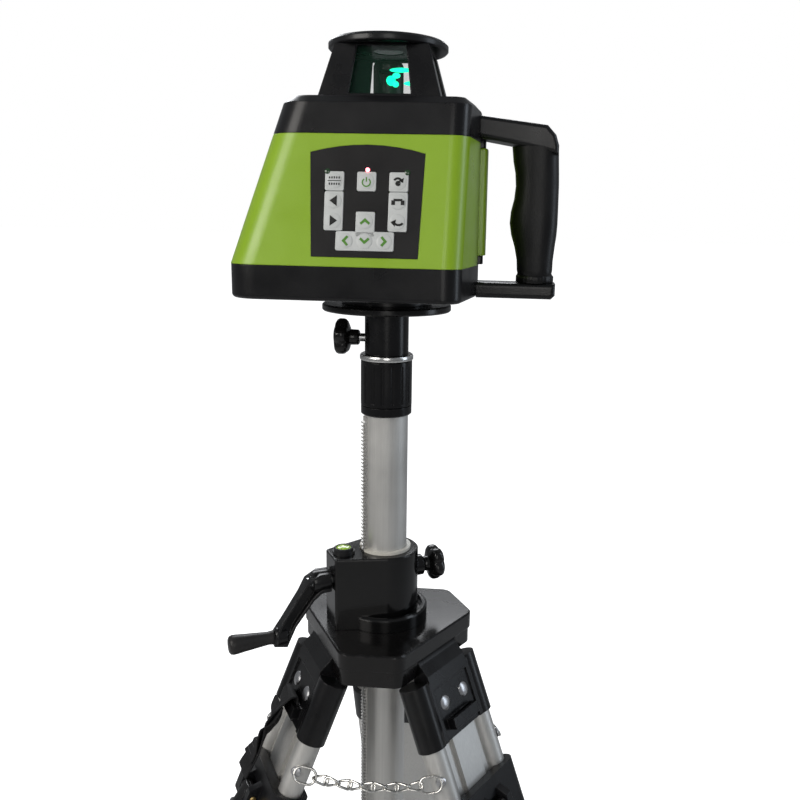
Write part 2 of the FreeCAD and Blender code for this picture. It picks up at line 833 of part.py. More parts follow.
def make_crank():
    height = size.crank_height
    foot = height - size.crank_throw
    body = new_body("crank_arm")
    inner_face = size.housing_face + 1
    sketch = new_sketch(body, "YZ_Plane", inner_face)
    draw_circle(sketch, 0, height, 9)
    pad(body, sketch, 16)
    sketch = new_sketch(body, "XZ_Plane")
    end = size.grip_start
    draw_loop(sketch, [
        (inner_face + 4, height + 6), (inner_face + 16, height + 4), (end, foot + 12),
        (end, foot - 7), (end - 9, foot - 7), (inner_face + 4, height - 5),
    ])
    pad(body, sketch, 15, both_ways=True)
    sketch = new_sketch(body, "YZ_Plane", end - 9)
    draw_circle(sketch, 0, foot, 8.4)
    pad(body, sketch, 9)
    sketch = new_sketch(body, "XZ_Plane")
    draw_loop(sketch, [
        (inner_face + 14, height + 9), (inner_face + 26, height + 9), (end + 6, foot + 14),
        (end - 4, foot + 9), (inner_face + 13, height - 6), (inner_face + 11, height - 1),
    ])
    pocket(body, sketch, 8, both_ways=True)
    sketch = new_sketch(body, "YZ_Plane", inner_face)
    draw_circle(sketch, 0, height, size.shaft_radius)
    pocket(body, sketch, 66 - inner_face, backwards=True)
    sketch = new_sketch(body, "YZ_Plane", end)
    draw_circle(sketch, 0, foot, 3.6)
    pad(body, sketch, size.grip_length - 4)
    node("crank_arm", body, drive_place)

    body = new_body("crank_grip")
    start = size.grip_start + 0.4
    tip = size.grip_start + size.grip_length
    pin = 3.6 + size.running_gap
    revolve(body, [
        (pin, start), (size.grip_radius - 1.6, start), (size.grip_radius - 1.2, start + 2),
        (size.grip_radius + 0.4, tip - 2.5), (size.grip_radius - 0.4, tip - 0.8),
        (size.grip_radius - 2.4, tip), (0, tip), (0, tip - 3.6), (pin, tip - 3.6),
    ])
    lay = Placement(Vector(0, 0, float(foot)), Rotation(Vector(0, 1, 0), 90))
    node("crank_grip", body, drive_place * lay)


# ---- legs: built hanging straight down from the hinge, outer face towards +Y ----

def leg_place(direction):
    hinge = Placement(Vector(0, float(size.hinge_radius), float(size.hinge_height)), Rotation())
    tilt = Placement(Vector(0, 0, 0), Rotation(Vector(1, 0, 0), float(size.leg_splay)))
    return about_z(direction - 90) * hinge * tilt


def make_bracket(name, place):
    body = new_body(f"leg_bracket_{name}")
    spacing = size.tube_spacing
    outer = size.tube_radius + size.socket_wall
    length = size.bracket_bottom - size.bracket_top
    for side in (-1, 1):
        sketch = new_sketch(body, "XY_Plane", -size.bracket_bottom)
        draw_circle(sketch, spacing * side, 0, outer)
        if side < 0:
            pad(body, sketch, length)
            sketch = new_sketch(body, "YZ_Plane")
            draw_box(sketch, -outer + 6.5, outer - 1.5, -size.bracket_bottom, -size.bracket_top - 2)
            pad(body, sketch, spacing * 2, both_ways=True)
        else:
            pad(body, sketch, length)
    sketch = new_sketch(body, "YZ_Plane")
    knuckle = size.knuckle_radius
    draw_loop(sketch, [
        (-knuckle * 0.7, -2), (knuckle * 0.75, 3), (outer - 1.5, -size.bracket_top + 3),
        (outer - 1.5, -size.bracket_top - 4), (-outer + 7, -size.bracket_top - 4),
    ])
    pad(body, sketch, size.knuckle_width, both_ways=True)
    sketch = new_sketch(body, "YZ_Plane")
    draw_circle(sketch, 0, 0, knuckle)
    pad(body, sketch, size.knuckle_width, both_ways=True)
    # recessed panel, then the strap loop below it
    sketch = new_sketch(body, "XZ_Plane", -outer - 1)
    half = spacing - outer + 2
    draw_box(sketch, -half, half, -size.bracket_bottom - 5, -size.bracket_top - 9)
    pocket(body, sketch, 4, backwards=True)
    bar_low = -size.bracket_bottom + 7
    sketch = new_sketch(body, "YZ_Plane")
    draw_loop(sketch, [
        (outer - 4, bar_low), (outer + 4.4, bar_low), (outer + 4.4, bar_low + 9),
        (outer - 4, bar_low + 9),
    ])
    pad(body, sketch, 34, both_ways=True)
    sketch = new_sketch(body, "XY_Plane", -size.bracket_bottom)
    draw_box(sketch, -14, 14, outer - 2.5, outer + 1.4)
    pocket(body, sketch, 24, backwards=True)
    for side in (-1, 1):
        sketch = new_sketch(body, "XY_Plane", -size.bracket_bottom)
        draw_circle(sketch, spacing * side, 0, size.tube_radius)
        pocket(body, sketch, length - 5, backwards=True)
    sketch = new_sketch(body, "YZ_Plane")
    draw_circle(sketch, 0, 0, size.hinge_pin_radius + size.running_gap)
    pocket(body, sketch, both_ways=True)
    node(f"leg_bracket_{name}", body, place)


def make_upper_tubes(name, place):
    """One extrusion: two round tubes, a web between them and a raised middle panel."""
    body = new_body(f"upper_tubes_{name}")
    top = size.bracket_bottom
    spacing = size.tube_spacing
    end = top + size.tube_length
    for side in (-1, 1):
        sketch = new_sketch(body, "XY_Plane", -end)
        draw_circle(sketch, spacing * side, 0, size.tube_radius)
        if side < 0:
            pad(body, sketch, size.tube_length + 40)
            sketch = new_sketch(body, "XY_Plane", -end)
            web = spacing - size.tube_radius + 2
            draw_box(sketch, -web, web, -2, 2)
            pad(body, sketch, size.tube_length)
        else:
            pad(body, sketch, size.tube_length + 40)
    sketch = new_sketch(body, "XY_Plane", -end)
    draw_box(sketch, -13.5, 13.5, -1, 5.6)
    pad(body, sketch, size.tube_length)
    for side in (-1, 1):
        sketch = new_sketch(body, "XY_Plane", -end)
        draw_circle(sketch, spacing * side, 0, size.tube_radius - size.tube_wall)
        pocket(body, sketch, backwards=True)
    node(f"upper_tubes_{name}", body, place)


def make_lower_leg(name, place):
    """Outer section: two larger tubes tied by a face plate on each side."""
    body = new_body(f"lower_leg_{name}")
    spacing = size.tube_spacing
    inner = size.tube_radius + 0.35
    outer = inner + size.outer_tube_wall
    length = size.lower_leg_end - size.clamp_top - 6
    low = -size.lower_leg_end
    for side in (-1, 1):
        sketch = new_sketch(body, "XY_Plane", low)
        draw_circle(sketch, spacing * side, 0, outer)
        pad(body, sketch, length)
        if side < 0:
            for face in (-1, 1):
                sketch = new_sketch(body, "XY_Plane", low)
                y_far, y_near = (outer - 2) * face, (outer - 4) * face
                ends = (y_near, y_far) if face > 0 else (y_far, y_near)
                draw_box(sketch, -spacing, spacing, *ends)
                pad(body, sketch, length)
    for side in (-1, 1):
        sketch = new_sketch(body, "XY_Plane", low)
        draw_circle(sketch, spacing * side, 0, inner)
        pocket(body, sketch, backwards=True)
    sketch = new_sketch(body, "XY_Plane", low)
    draw_box(sketch, -spacing, spacing, -4, 6)
    pocket(body, sketch, backwards=True)
    node(f"lower_leg_{name}", body, place)

    clamp = new_body(f"leg_clamp_{name}_blank")
    top = size.clamp_top
    half_width = spacing + outer + 0.6
    sketch = new_sketch(clamp, "XY_Plane", -top - size.clamp_height)
    draw_box(sketch, -half_width, half_width, -outer - 2.5, outer + 3.5)
    pad(clamp, sketch, size.clamp_height)
    dress(clamp, "Fillet", 10, is_upright)
    for side in (-1, 1):
        sketch = new_sketch(clamp, "YZ_Plane", side * 11.5 - 3.5)
        middle = -top - size.clamp_height * 0.5
        draw_loop(sketch, [
            (outer + 2, middle - 11), (outer + 12.5, middle - 5), (outer + 12.5, middle + 6),
            (outer + 2, middle + 14),
        ])
        pad(clamp, sketch, 7)
    sketch = new_sketch(clamp, "YZ_Plane")
    draw_circle(sketch, outer + 7.5, -top - size.clamp_height * 0.5, 2.5 + size.running_gap)
    pocket(clamp, sketch, both_ways=True)
    for side in (-1, 1):
        sketch = new_sketch(clamp, "XY_Plane", -top - size.clamp_height)
        draw_circle(sketch, spacing * side, 0, inner + 0.1)
        pocket(clamp, sketch, backwards=True)
    sketch = new_sketch(clamp, "XY_Plane", -top - size.clamp_height)
    draw_box(sketch, -spacing, spacing, -4, 6)
    pocket(clamp, sketch, backwards=True)
    sketch = new_sketch(clamp, "YZ_Plane")
    middle = -top - size.clamp_height * 0.5
    draw_box(sketch, outer + 1.4, outer + 20, middle - 7.5, middle + 7.5)
    pocket(clamp, sketch, 16, both_ways=True)
    clamp.Placement = place
    node(f"leg_clamp_{name}", cut(f"leg_clamp_{name}_cut", clamp, [body]))

    lever = new_body(f"clamp_lever_{name}")
    pivot_y = outer + 7.5
    pivot_z = -top - size.clamp_height * 0.5
    sketch = new_sketch(lever, "YZ_Plane")
    draw_circle(sketch, pivot_y, pivot_z, 5.2)
    pad(lever, sketch, 15, both_ways=True)
    sketch = new_sketch(lever, "YZ_Plane")
    draw_loop(sketch, [
        (pivot_y - 2.5, pivot_z), (pivot_y + 5.2, pivot_z), (pivot_y + 8, pivot_z - 16),
        (pivot_y + 6.5, pivot_z - size.lever_length), (pivot_y + 2.5, pivot_z - size.lever_length),
        (pivot_y + 1.5, pivot_z - 16),
    ])
    pad(lever, sketch, 15, both_ways=True)
    sketch = new_sketch(lever, "YZ_Plane")
    draw_loop(sketch, [
        (pivot_y + 0.5, pivot_z - 14), (pivot_y + 9, pivot_z - 14),
        (pivot_y + 7.5, pivot_z - size.lever_length), (pivot_y + 2.5, pivot_z - size.lever_length),
    ])
    pad(lever, sketch, 30, both_ways=True)
    sketch = new_sketch(lever, "XZ_Plane", -pivot_y - 20)
    draw_box(sketch, -8, 8, pivot_z - 26, pivot_z - 20)
    pocket(lever, sketch, backwards=True)
    sketch = new_sketch(lever, "YZ_Plane")
    draw_circle(sketch, pivot_y, pivot_z, 2.5)
    pad(lever, sketch, 34, both_ways=True)
    node(f"clamp_lever_{name}", lever, place)


def make_foot(name, place):
    """Rubber shoe that closes the lower leg; its sole lies flat on the floor when the leg is open."""
    splay = math.radians(size.leg_splay.number)
    body = new_body(f"leg_foot_{name}")
    outer = size.tube_radius + 0.35 + size.outer_tube_wall
    top = -size.lower_leg_end + 30
    floor = size.hinge_height * (1 / math.cos(splay))
    toe, heel = outer + 9, -outer - 3
    slope = math.tan(splay)
    sketch = new_sketch(body, "YZ_Plane")
    draw_loop(sketch, [
        (-outer - 2.4, top), (outer + 2.4, top), (outer + 2.4, -size.lower_leg_end - 6),
        (toe, -floor - toe * slope + 9), (toe, -floor - toe * slope),
        (heel, -floor - heel * slope), (heel, -floor - heel * slope + 6),
        (-outer - 2.4, -floor + 26),
    ])
    half = size.tube_spacing + outer + 2.4
    pad(body, sketch, half * 2, both_ways=True)
    for side in (-1, 1):
        sketch = new_sketch(body, "XZ_Plane")
        draw_loop(sketch, [
            (half * side, -size.lower_leg_end - 2), ((half + 5) * side, -size.lower_leg_end - 2),
            ((half + 5) * side, -floor - 20), (26 * side, -floor - 20), (26 * side, -floor + 6),
        ])
        pocket(body, sketch, both_ways=True)
    sketch = new_sketch(body, "XY_Plane", -size.lower_leg_end)
    draw_box(sketch, -size.tube_spacing, size.tube_spacing, -outer + 2, outer - 2)
    pocket(body, sketch, backwards=True)
    for side in (-1, 1):
        sketch = new_sketch(body, "XY_Plane", -size.lower_leg_end)
        draw_circle(sketch, size.tube_spacing * side, 0, outer)
        pocket(body, sketch, backwards=True)
    node(f"leg_foot_{name}", body, place)


def make_strap(place):
    """Webbing strap doubled through the bracket's loop and sewn, hanging down the leg's face."""
    outer = float(size.tube_radius + size.socket_wall)
    bar = -float(size.bracket_bottom) + 7
    half = float(size.strap_width) / 2
    path = [
        (outer - 0.9, bar + 2), (outer - 0.4, bar + 15), (outer + 6.6, bar + 15),
        (outer + 7.4, bar - 14), (outer + 9, -float(size.clamp_top) - 4),
    ]
    thick = 1.0
    pieces = []
    for (y0, z0), (y1, z1) in zip(path, path[1:]):
        along = Vector(0, y1 - y0, z1 - z0)
        long = along.Length + thick
        box = Part.makeBox(2 * half, 2 * thick, long, Vector(-half, -thick, -thick / 2))
        box.Placement = Placement(Vector(0, y0, z0), Rotation(Vector(0, 0, 1), along))
        pieces.append(box)
    strap = pieces[0].fuse(pieces[1:])
    node("carry_strap", solid("carry_strap", strap), place)


def rivet_point(name, side):
    """Where a chain's rivet stands on the side of a leg's tube."""
    reach = float(size.tube_spacing + size.tube_radius) + 3.2
    local = Vector(side * reach, 0, -float(size.clamp_top) + 10)
    return leg_place(LEG_DIRECTIONS[name]).multVec(local)


def make_chains():
    """A chain of plain links between each pair of legs, sagging a little."""
    link, wire = 5.0, 1.1
    sag = 6.0
    links = []
    for left, right in (("a", "b"), ("b", "c"), ("c", "a")):
        start, end = rivet_point(left, -1), rivet_point(right, 1)
        span = end - start
        inside = span.Length - 2 * (link + wire)
        count = int(round(inside / (2 * (link - wire) - 0.2))) + 1
        for i in range(count):
            share = (link + wire + inside * i / (count - 1)) / span.Length
            drop = 4 * sag * share * (1 - share)
            middle = start + span * share - Vector(0, 0, drop)
            axis = Vector(0, 0, 1) if i % 2 else span.cross(Vector(0, 0, 1)).normalize()
            links.append(Part.makeTorus(link, wire, middle, axis))
    node("leg_chains", solid("leg_chains", Part.makeCompound(links)))


# ---- laser ----

base_top = size.laser_bottom + size.base_height
shell_top = base_top + size.shell_height
cover_top = shell_top + size.cover_height


def laser_plan(inset):
    left, right = size.laser_left - inset, size.laser_right - inset
    bulge, front = size.side_bulge - inset, size.laser_front - inset
    return [
        (-left, -front), (right, -front), (bulge, -size.side_flat), (bulge, size.side_flat),
        (right, front), (-left, front),
    ]


def round_corners(body, inset):
    """Rounds the case's four upright corners: wide ones on the left, tighter ones by the handle."""
    for side, radius in ((-1, size.laser_corner), (1, size.laser_handle_corner)):
        dress(body, "Fillet", radius - inset, lambda e: (
            is_upright(e)
            and min(abs(v.Y) for v in e.Vertexes) > 48
            and all(v.X * side > 0 for v in e.Vertexes)
        ))


def laser_block(label, inset, low, high):
    """The laser's outer form between two heights, or the same form a wall's thickness inside."""
    body = new_body(label)
    sketch = new_sketch(body, "XY_Plane", low)
    draw_loop(sketch, laser_plan(inset))
    pad(body, sketch, high - low)
    over = 12
    left, front = size.laser_left - inset, size.laser_front - inset
    rise = cover_top + over - base_top
    sketch = new_sketch(body, "XZ_Plane")
    draw_loop(sketch, [
        (-left, base_top), (-left + size.left_slope * rise, cover_top + over),
        (-left - 30, cover_top + over), (-left - 30, base_top),
    ])
    pocket(body, sketch, both_ways=True)
    for side in (-1, 1):
        sketch = new_sketch(body, "YZ_Plane")
        draw_loop(sketch, [
            (front * side, base_top), ((front - size.front_slope * rise) * side, cover_top + over),
            ((front + 30) * side, cover_top + over), ((front + 30) * side, base_top),
        ])
        pocket(body, sketch, both_ways=True)
    round_corners(body, inset)
    return body


def face_place():
    """Frame of the keypad: X along the face, Y up its slope, Z out of it."""
    middle = size.panel_middle.number
    lean = math.atan(size.front_slope.number)
    y = -size.laser_front.number + size.front_slope.number * middle
    upright = Rotation(Vector(1, 0, 0), 90 - math.degrees(lean))
    return Placement(Vector(-size.panel_offset.number, y, float(base_top) + middle), upright)


def panel_outline(inset):
    top, bottom = size.panel_top_half - inset, size.panel_bottom_half - inset
    half = size.panel_half_height - inset
    corners = [(-bottom, -half), (bottom, -half)]
    steps = 8
    for i in range(steps + 1):
        share = 1 - 2 * i / steps
        corners.append((top * share, half + size.panel_arc * (1 - share * share)))
    return corners


def make_laser_shells():
    wall = size.shell_wall
    base = new_body("laser_base")
    sketch = new_sketch(base, "XY_Plane", size.laser_bottom)
    draw_loop(sketch, laser_plan(0))
    pad(base, sketch, size.base_height)
    round_corners(base, 0)
    dress(base, "Fillet", 3, lambda e: lies_at(e, size.laser_bottom))
    low = size.socket_top + size.disc_thickness
    sketch = new_sketch(base, "XY_Plane", low)
    draw_circle(sketch, 0, 0, size.boss_radius)
    pad(base, sketch, size.laser_bottom - low + 1)
    inner = new_body("laser_base_hollow")
    sketch = new_sketch(inner, "XY_Plane", size.laser_bottom + wall)
    draw_loop(sketch, laser_plan(wall))
    pad(inner, sketch, size.base_height)
    round_corners(inner, wall)
    post = new_body("laser_base_post")
    sketch = new_sketch(post, "XY_Plane", size.laser_bottom)
    draw_circle(sketch, 0, 0, 20)
    pad(post, sketch, size.stud_engagement)
    bore = new_body("laser_base_bore")
    sketch = new_sketch(bore, "XY_Plane", low - 1)
    draw_circle(sketch, 0, 0, 14)
    pad(bore, sketch, size.laser_bottom + size.stud_engagement - low + 2)
    hollow = cut("laser_base_open", base, [inner])
    joined = document.addObject("Part::MultiFuse", "laser_base_joined")
    joined.Shapes = [hollow, post]
    base.Label = "laser_base_blank"
    node("laser_base", cut("laser_base_whole", joined, [bore]))

    insert = new_body("thread_insert")
    sketch = new_sketch(insert, "XY_Plane", low)
    draw_circle(sketch, 0, 0, 14)
    draw_circle(sketch, 0, 0, size.stud_radius + 0.02)
    pad(insert, sketch, size.laser_bottom + size.stud_engagement - low)
    node("thread_insert", insert)

    outer = laser_block("laser_shell_outer", 0, base_top, shell_top)
    inner = laser_block("laser_shell_inner", wall, base_top, shell_top + 5)
    recess = new_body("keypad_recess")
    sketch = new_sketch(recess, "XY_Plane", -1.7)
    draw_loop(sketch, panel_outline(0))
    pad(recess, sketch, 10)
    recess.Placement = face_place()
    window = new_body("keypad_window")
    sketch = new_sketch(window, "XY_Plane", -12)
    draw_loop(sketch, panel_outline(3))
    pad(window, sketch, 20)
    window.Placement = face_place()
    node("laser_body", cut("laser_shell", outer, [inner, recess, window]))

    outer = laser_block("laser_cover_outer", 0, shell_top, cover_top)
    dress(outer, "Chamfer", 5, lambda e: lies_at(e, cover_top))
    inner = laser_block("laser_cover_inner", wall + 1.5, shell_top - 5, cover_top - wall)
    hole = new_body("laser_cover_hole")
    sketch = new_sketch(hole, "XY_Plane", cover_top - 20)
    draw_circle(sketch, 0, 0, 20)
    pad(hole, sketch, 40)
    node("laser_cover", cut("laser_cover_cut", outer, [inner, hole]))


def make_handle():
    body = new_body("carry_handle_bar")
    reach, bar = size.handle_reach, size.handle_bar
    root = size.side_bulge - 8
    grip = size.grip_offset
    under = cover_top - 29.6
    sketch = new_sketch(body, "XZ_Plane")
    draw_loop(sketch, [
        (root, cover_top - 22.2), (reach - 35, cover_top - 27.6), (reach, cover_top - 34.8),
        (reach, cover_top - 28), (reach - 2.5, cover_top - 20.4), (reach - 9, cover_top - 13.5),
        (root, cover_top - 6.2),
    ])
    pad(body, sketch, size.handle_width, both_ways=True)
    low = size.laser_bottom
    sketch = new_sketch(body, "XZ_Plane")
    draw_loop(sketch, [
        (root, low), (reach - 1, low), (reach + 2, low + 3), (reach + 2, low + bar),
        (root, low + bar),
    ])
    pad(body, sketch, size.handle_width, both_ways=True)
    half = float(size.handle_width) / 2
    dress(body, "Fillet", 3.5, lambda e: (
        all(abs(abs(v.Y) - half) < 0.01 for v in e.Vertexes)
        and min(v.X for v in e.Vertexes) > 60
        and max(v.X for v in e.Vertexes) > float(root) + 1
        and abs(e.Vertexes[0].Y - e.Vertexes[-1].Y) < 0.01
    ))
    sketch = new_sketch(body, "XY_Plane", low + bar - 1)
    draw_circle(sketch, grip, 0, size.grip_core_radius)
    pad(body, sketch, under - low - bar)
    trim = new_body("carry_handle_trim")
    sketch = new_sketch(trim, "XY_Plane", low - 5)
    draw_loop(sketch, laser_plan(0))
    pad(trim, sketch, base_top - low + 5)
    hung = laser_block("carry_handle_trim_case", 0, base_top, cover_top)
    node("carry_handle", cut("carry_handle_cut", body, [trim, hung]))

    grip_body = new_body("handle_grip")
    low = size.laser_bottom + bar
    high = cover_top - 34.5
    height = high - low
    core = size.grip_core_radius
    revolve(grip_body, [
        (core, low), (14.6, low), (14.6, low + 5.4), (13.8, low + 6), (14.6, low + height * 0.18),
        (17.3, low + height * 0.5), (17.8, low + height * 0.62), (16.4, low + height * 0.8),
        (16.2, low + height * 0.86), (16.8, high), (core, high),
    ])
    node("handle_grip", grip_body, Placement(Vector(grip.number, 0, 0), Rotation()))


def square_loft(body, kind, low, high, foot, head):
    sections = []
    for level, half in ((low, foot), (high, head)):
        sketch = new_sketch(body, "XY_Plane", level)
        draw_box(sketch, -half, half, -half, half)
        sections.append(sketch)
    made = body.newObject(f"PartDesign::{kind}", f"{body.Name}_loft")
    made.Profile = sections[0]
    made.Sections = [sections[1]]
    made.Ruled = True
    document.recompute()
    return made


def make_turret():
    foot, head, tall = size.cage_foot, size.cage_head, size.cage_height
    wall = size.cage_wall
    low, high = cover_top, cover_top + tall
    body = new_body("turret_cage")
    square_loft(body, "AdditiveLoft", low, high, foot, head)
    square_loft(body, "SubtractiveLoft", low, high, foot - wall, head - wall)
    for role in ("XZ_Plane", "YZ_Plane"):
        sketch = new_sketch(body, role)
        draw_loop(sketch, [
            (-foot + 22, low + 3), (foot - 22, low + 3),
            (head - 16, high - 1.5), (-head + 16, high - 1.5),
        ])
        pocket(body, sketch, both_ways=True)
    node("turret_cage", body)

    body = new_body("turret_glass")
    gap = wall + 0.1
    square_loft(body, "AdditiveLoft", low, high, foot - gap, head - gap)
    square_loft(body, "SubtractiveLoft", low, high, foot - gap - 1.6, head - gap - 1.6)
    node("turret_glass", body)

    body = new_body("turret_cap")
    radius, top = size.cap_radius, high + size.cap_thickness
    revolve(body, [
        (size.cap_window_radius, high), (radius - 1.2, high), (radius, high + 1.2),
        (radius, top - 2), (radius - 2, top), (size.cap_window_radius, top),
    ])
    node("turret_cap", body)

    body = new_body("rotor_bearing")
    post = 5 + size.running_gap
    revolve(body, [
        (post, cover_top - 46), (20, cover_top - 46), (20, cover_top + 1),
        (12, cover_top + 1), (12, cover_top + 2), (post, cover_top + 2),
    ])
    node("rotor_bearing", body)

    body = new_body("rotor_head")
    radius = size.rotor_radius
    low, top = cover_top + 2.4, cover_top + 2.4 + size.rotor_height
    revolve(body, [
        (0, cover_top - 30), (5, cover_top - 30), (5, low), (radius, low),
        (radius, top - 3), (radius - 0.9, top - 0.9), (radius - 3, top), (0, top),
    ])
    sketch = new_sketch(body, "XZ_Plane")
    draw_box(sketch, -5.5, 5.5, low + 12, low + 22)
    pocket(body, sketch, radius + 1, backwards=True)
    node("rotor_head", body)


def add_key(name, middle, boxes, domes, holes):
    """A key made of boxes, with a low dome for each place that is pressed."""
    body = new_body(name)
    for x_low, x_high, y_low, y_high in boxes:
        sketch = new_sketch(body, "XY_Plane", -2.2)
        draw_box(sketch, middle + x_low, middle + x_high, y_low, y_high)
        pad(body, sketch, 3.0)
        holes.append((middle + x_low, middle + x_high, y_low, y_high))
    for x, y in domes:
        sketch = new_sketch(body, "XY_Plane", 0.5)
        draw_circle(sketch, middle + x, y, 5.2)
        pad(body, sketch, 0.8)
    document.recompute()
    node(name, body, face_place())


def make_keypad():
    pitch = size.key_pitch
    half = pitch * 0.5
    row_line = as_size(-4.3)
    holes = []

    def rows(low, high):
        margin = (size.key_pitch - size.key_size) * 0.5
        return (row_line + pitch * low + margin, row_line + pitch * high - margin)

    side = (pitch - size.key_size) * 0.5
    wide = (-half + side, half - side)
    columns = {"left": -size.key_columns, "middle": as_size(0), "right": size.key_columns}
    centre = lambda low: row_line + pitch * (low + 0.5)
    for name, column in (("mode_key", "left"), ("power_key", "middle"), ("scan_key", "right")):
        add_key(name, columns[column], [(*wide, *rows(1, 2))], [(0, centre(1))], holes)
    for name, column in (("speed_rocker", "left"), ("function_rocker", "right")):
        box = (*wide, *rows(-1, 1))
        add_key(name, columns[column], [box], [(0, centre(-1)), (0, centre(0))], holes)
    stem = (*wide, row_line - pitch * 2 + side, row_line - side)
    bar = (-pitch - half + side, pitch + half - side, *rows(-2, -1))
    domes = [(0, centre(-1)), (0, centre(-2)), (-pitch, centre(-2)), (pitch, centre(-2))]
    add_key("arrow_pad", columns["middle"], [bar, stem], domes, holes)

    body = new_body("keypad_panel")
    sketch = new_sketch(body, "XY_Plane", -1.7)
    draw_loop(sketch, panel_outline(0))
    pad(body, sketch, 2.0)
    gap = size.free_gap * 0.5
    for x_low, x_high, y_low, y_high in holes:
        sketch = new_sketch(body, "XY_Plane", -1.7)
        draw_box(sketch, x_low - gap, x_high + gap, y_low - gap, y_high + gap)
        pocket(body, sketch, backwards=True)
    node("keypad_panel", body, face_place())


def make_batteries():
    """Four round cells side by side on the base's floor, under the turret."""
    radius, length = 16.5, 60.0
    floor = float(size.laser_bottom + size.shell_wall) + radius
    cells = []
    for x in (-78.0, -44.0):
        for y in (-62.0, 2.0):
            cells.append(Part.makeCylinder(radius, length, Vector(x, y, floor), Vector(0, 1, 0)))
    node("battery_cells", solid("battery_cells", Part.makeCompound(cells)))


def check_and_write():
    document.recompute()
    for made in document.Objects:
        if "Invalid" in made.State or "Error" in made.State:
            raise RuntimeError(f"{made.Label} failed: {made.State}")
    os.makedirs("parts", exist_ok=True)
    for name, made in nodes.items():
        shape = made.Shape
        if shape.isNull() or not shape.isValid() or not shape.Solids:
            raise RuntimeError(f"{name} is not a valid solid")
        shape.exportStep(f"parts/{name}.step")
        box = shape.BoundBox
        print(f"{name}: {len(shape.Solids)} solids, {shape.Volume / 1000:.2f} cm3, "
              f"z {box.ZMin:.1f} to {box.ZMax:.1f}")


make_platform()
make_hinge_pins()
make_housing()
make_bushes()
make_level()
make_column()
collar_top = make_twist_collar()
make_inner_column(collar_top)
make_head()
make_knobs()
make_drive()
make_crank()
for leg, direction in LEG_DIRECTIONS.items():
    leg_frame = leg_place(direction)
    make_bracket(leg, leg_frame)
    make_upper_tubes(leg, leg_frame)
    make_lower_leg(leg, leg_frame)
    make_foot(leg, leg_frame)
make_strap(leg_place(LEG_DIRECTIONS["a"]))
make_chains()
make_laser_shells()
make_handle()
make_turret()
make_keypad()
make_batteries()
check_and_write()
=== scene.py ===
import math

import bmesh
import bpy
from mathutils import Matrix, Vector


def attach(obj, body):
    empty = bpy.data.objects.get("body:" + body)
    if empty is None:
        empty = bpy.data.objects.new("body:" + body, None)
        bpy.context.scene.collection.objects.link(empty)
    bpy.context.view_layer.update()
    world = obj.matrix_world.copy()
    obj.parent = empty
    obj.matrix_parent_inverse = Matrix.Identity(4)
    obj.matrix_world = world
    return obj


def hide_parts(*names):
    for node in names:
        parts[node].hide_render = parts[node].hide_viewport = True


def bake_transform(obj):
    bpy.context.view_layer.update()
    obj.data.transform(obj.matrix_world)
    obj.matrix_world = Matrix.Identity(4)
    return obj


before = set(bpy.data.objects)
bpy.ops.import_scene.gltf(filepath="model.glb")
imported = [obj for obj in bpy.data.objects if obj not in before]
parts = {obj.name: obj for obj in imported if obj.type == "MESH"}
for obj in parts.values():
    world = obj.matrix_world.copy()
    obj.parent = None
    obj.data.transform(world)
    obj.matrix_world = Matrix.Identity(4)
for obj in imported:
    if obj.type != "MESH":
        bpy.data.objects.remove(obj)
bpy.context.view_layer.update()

# ---- The room ----
# A plain pale studio floor under soft lamps: a warm one on the keypad's left, a cool one on the
# handle's side and one behind. Nothing here is part of the instrument.

scene = bpy.context.scene
scene.view_settings.view_transform = "Standard"

room = bpy.data.worlds.new("studio_air")
scene.world = room
room.use_nodes = True
air = room.node_tree
sky = air.nodes["Background"]
sky.inputs["Color"].default_value = (0.93, 0.96, 1.0, 1)
sky.inputs["Strength"].default_value = 0.25
seen = air.nodes.new("ShaderNodeBackground")
seen.inputs["Color"].default_value = (1, 1, 1, 1)
ray = air.nodes.new("ShaderNodeLightPath")
choose = air.nodes.new("ShaderNodeMixShader")
air.links.new(ray.outputs["Is Camera Ray"], choose.inputs[0])
air.links.new(sky.outputs[0], choose.inputs[1])
air.links.new(seen.outputs[0], choose.inputs[2])
air.links.new(choose.outputs[0], air.nodes["World Output"].inputs["Surface"])

floor_mesh = bpy.data.meshes.new("studio_floor")
floor_half = 60.0
floor_corners = [(x * floor_half, y * floor_half, 0) for x, y in ((-1, -1), (1, -1), (1, 1), (-1, 1))]
floor_mesh.from_pydata(floor_corners, [], [(0, 1, 2, 3)])
floor = bpy.data.objects.new("studio_floor", floor_mesh)
scene.collection.objects.link(floor)
paint = bpy.data.materials.new("floor_paint")
paint.use_nodes = True
coat = paint.node_tree.nodes["Principled BSDF"]
coat.inputs["Base Color"].default_value = (0.62, 0.62, 0.62, 1)
coat.inputs["Roughness"].default_value = 0.85
coat.inputs["Emission Color"].default_value = (1, 1, 1, 1)
bright = paint.node_tree.nodes.new("ShaderNodeLightPath")
paint.node_tree.links.new(bright.outputs["Is Camera Ray"], coat.inputs["Emission Strength"])
floor_mesh.materials.append(paint)

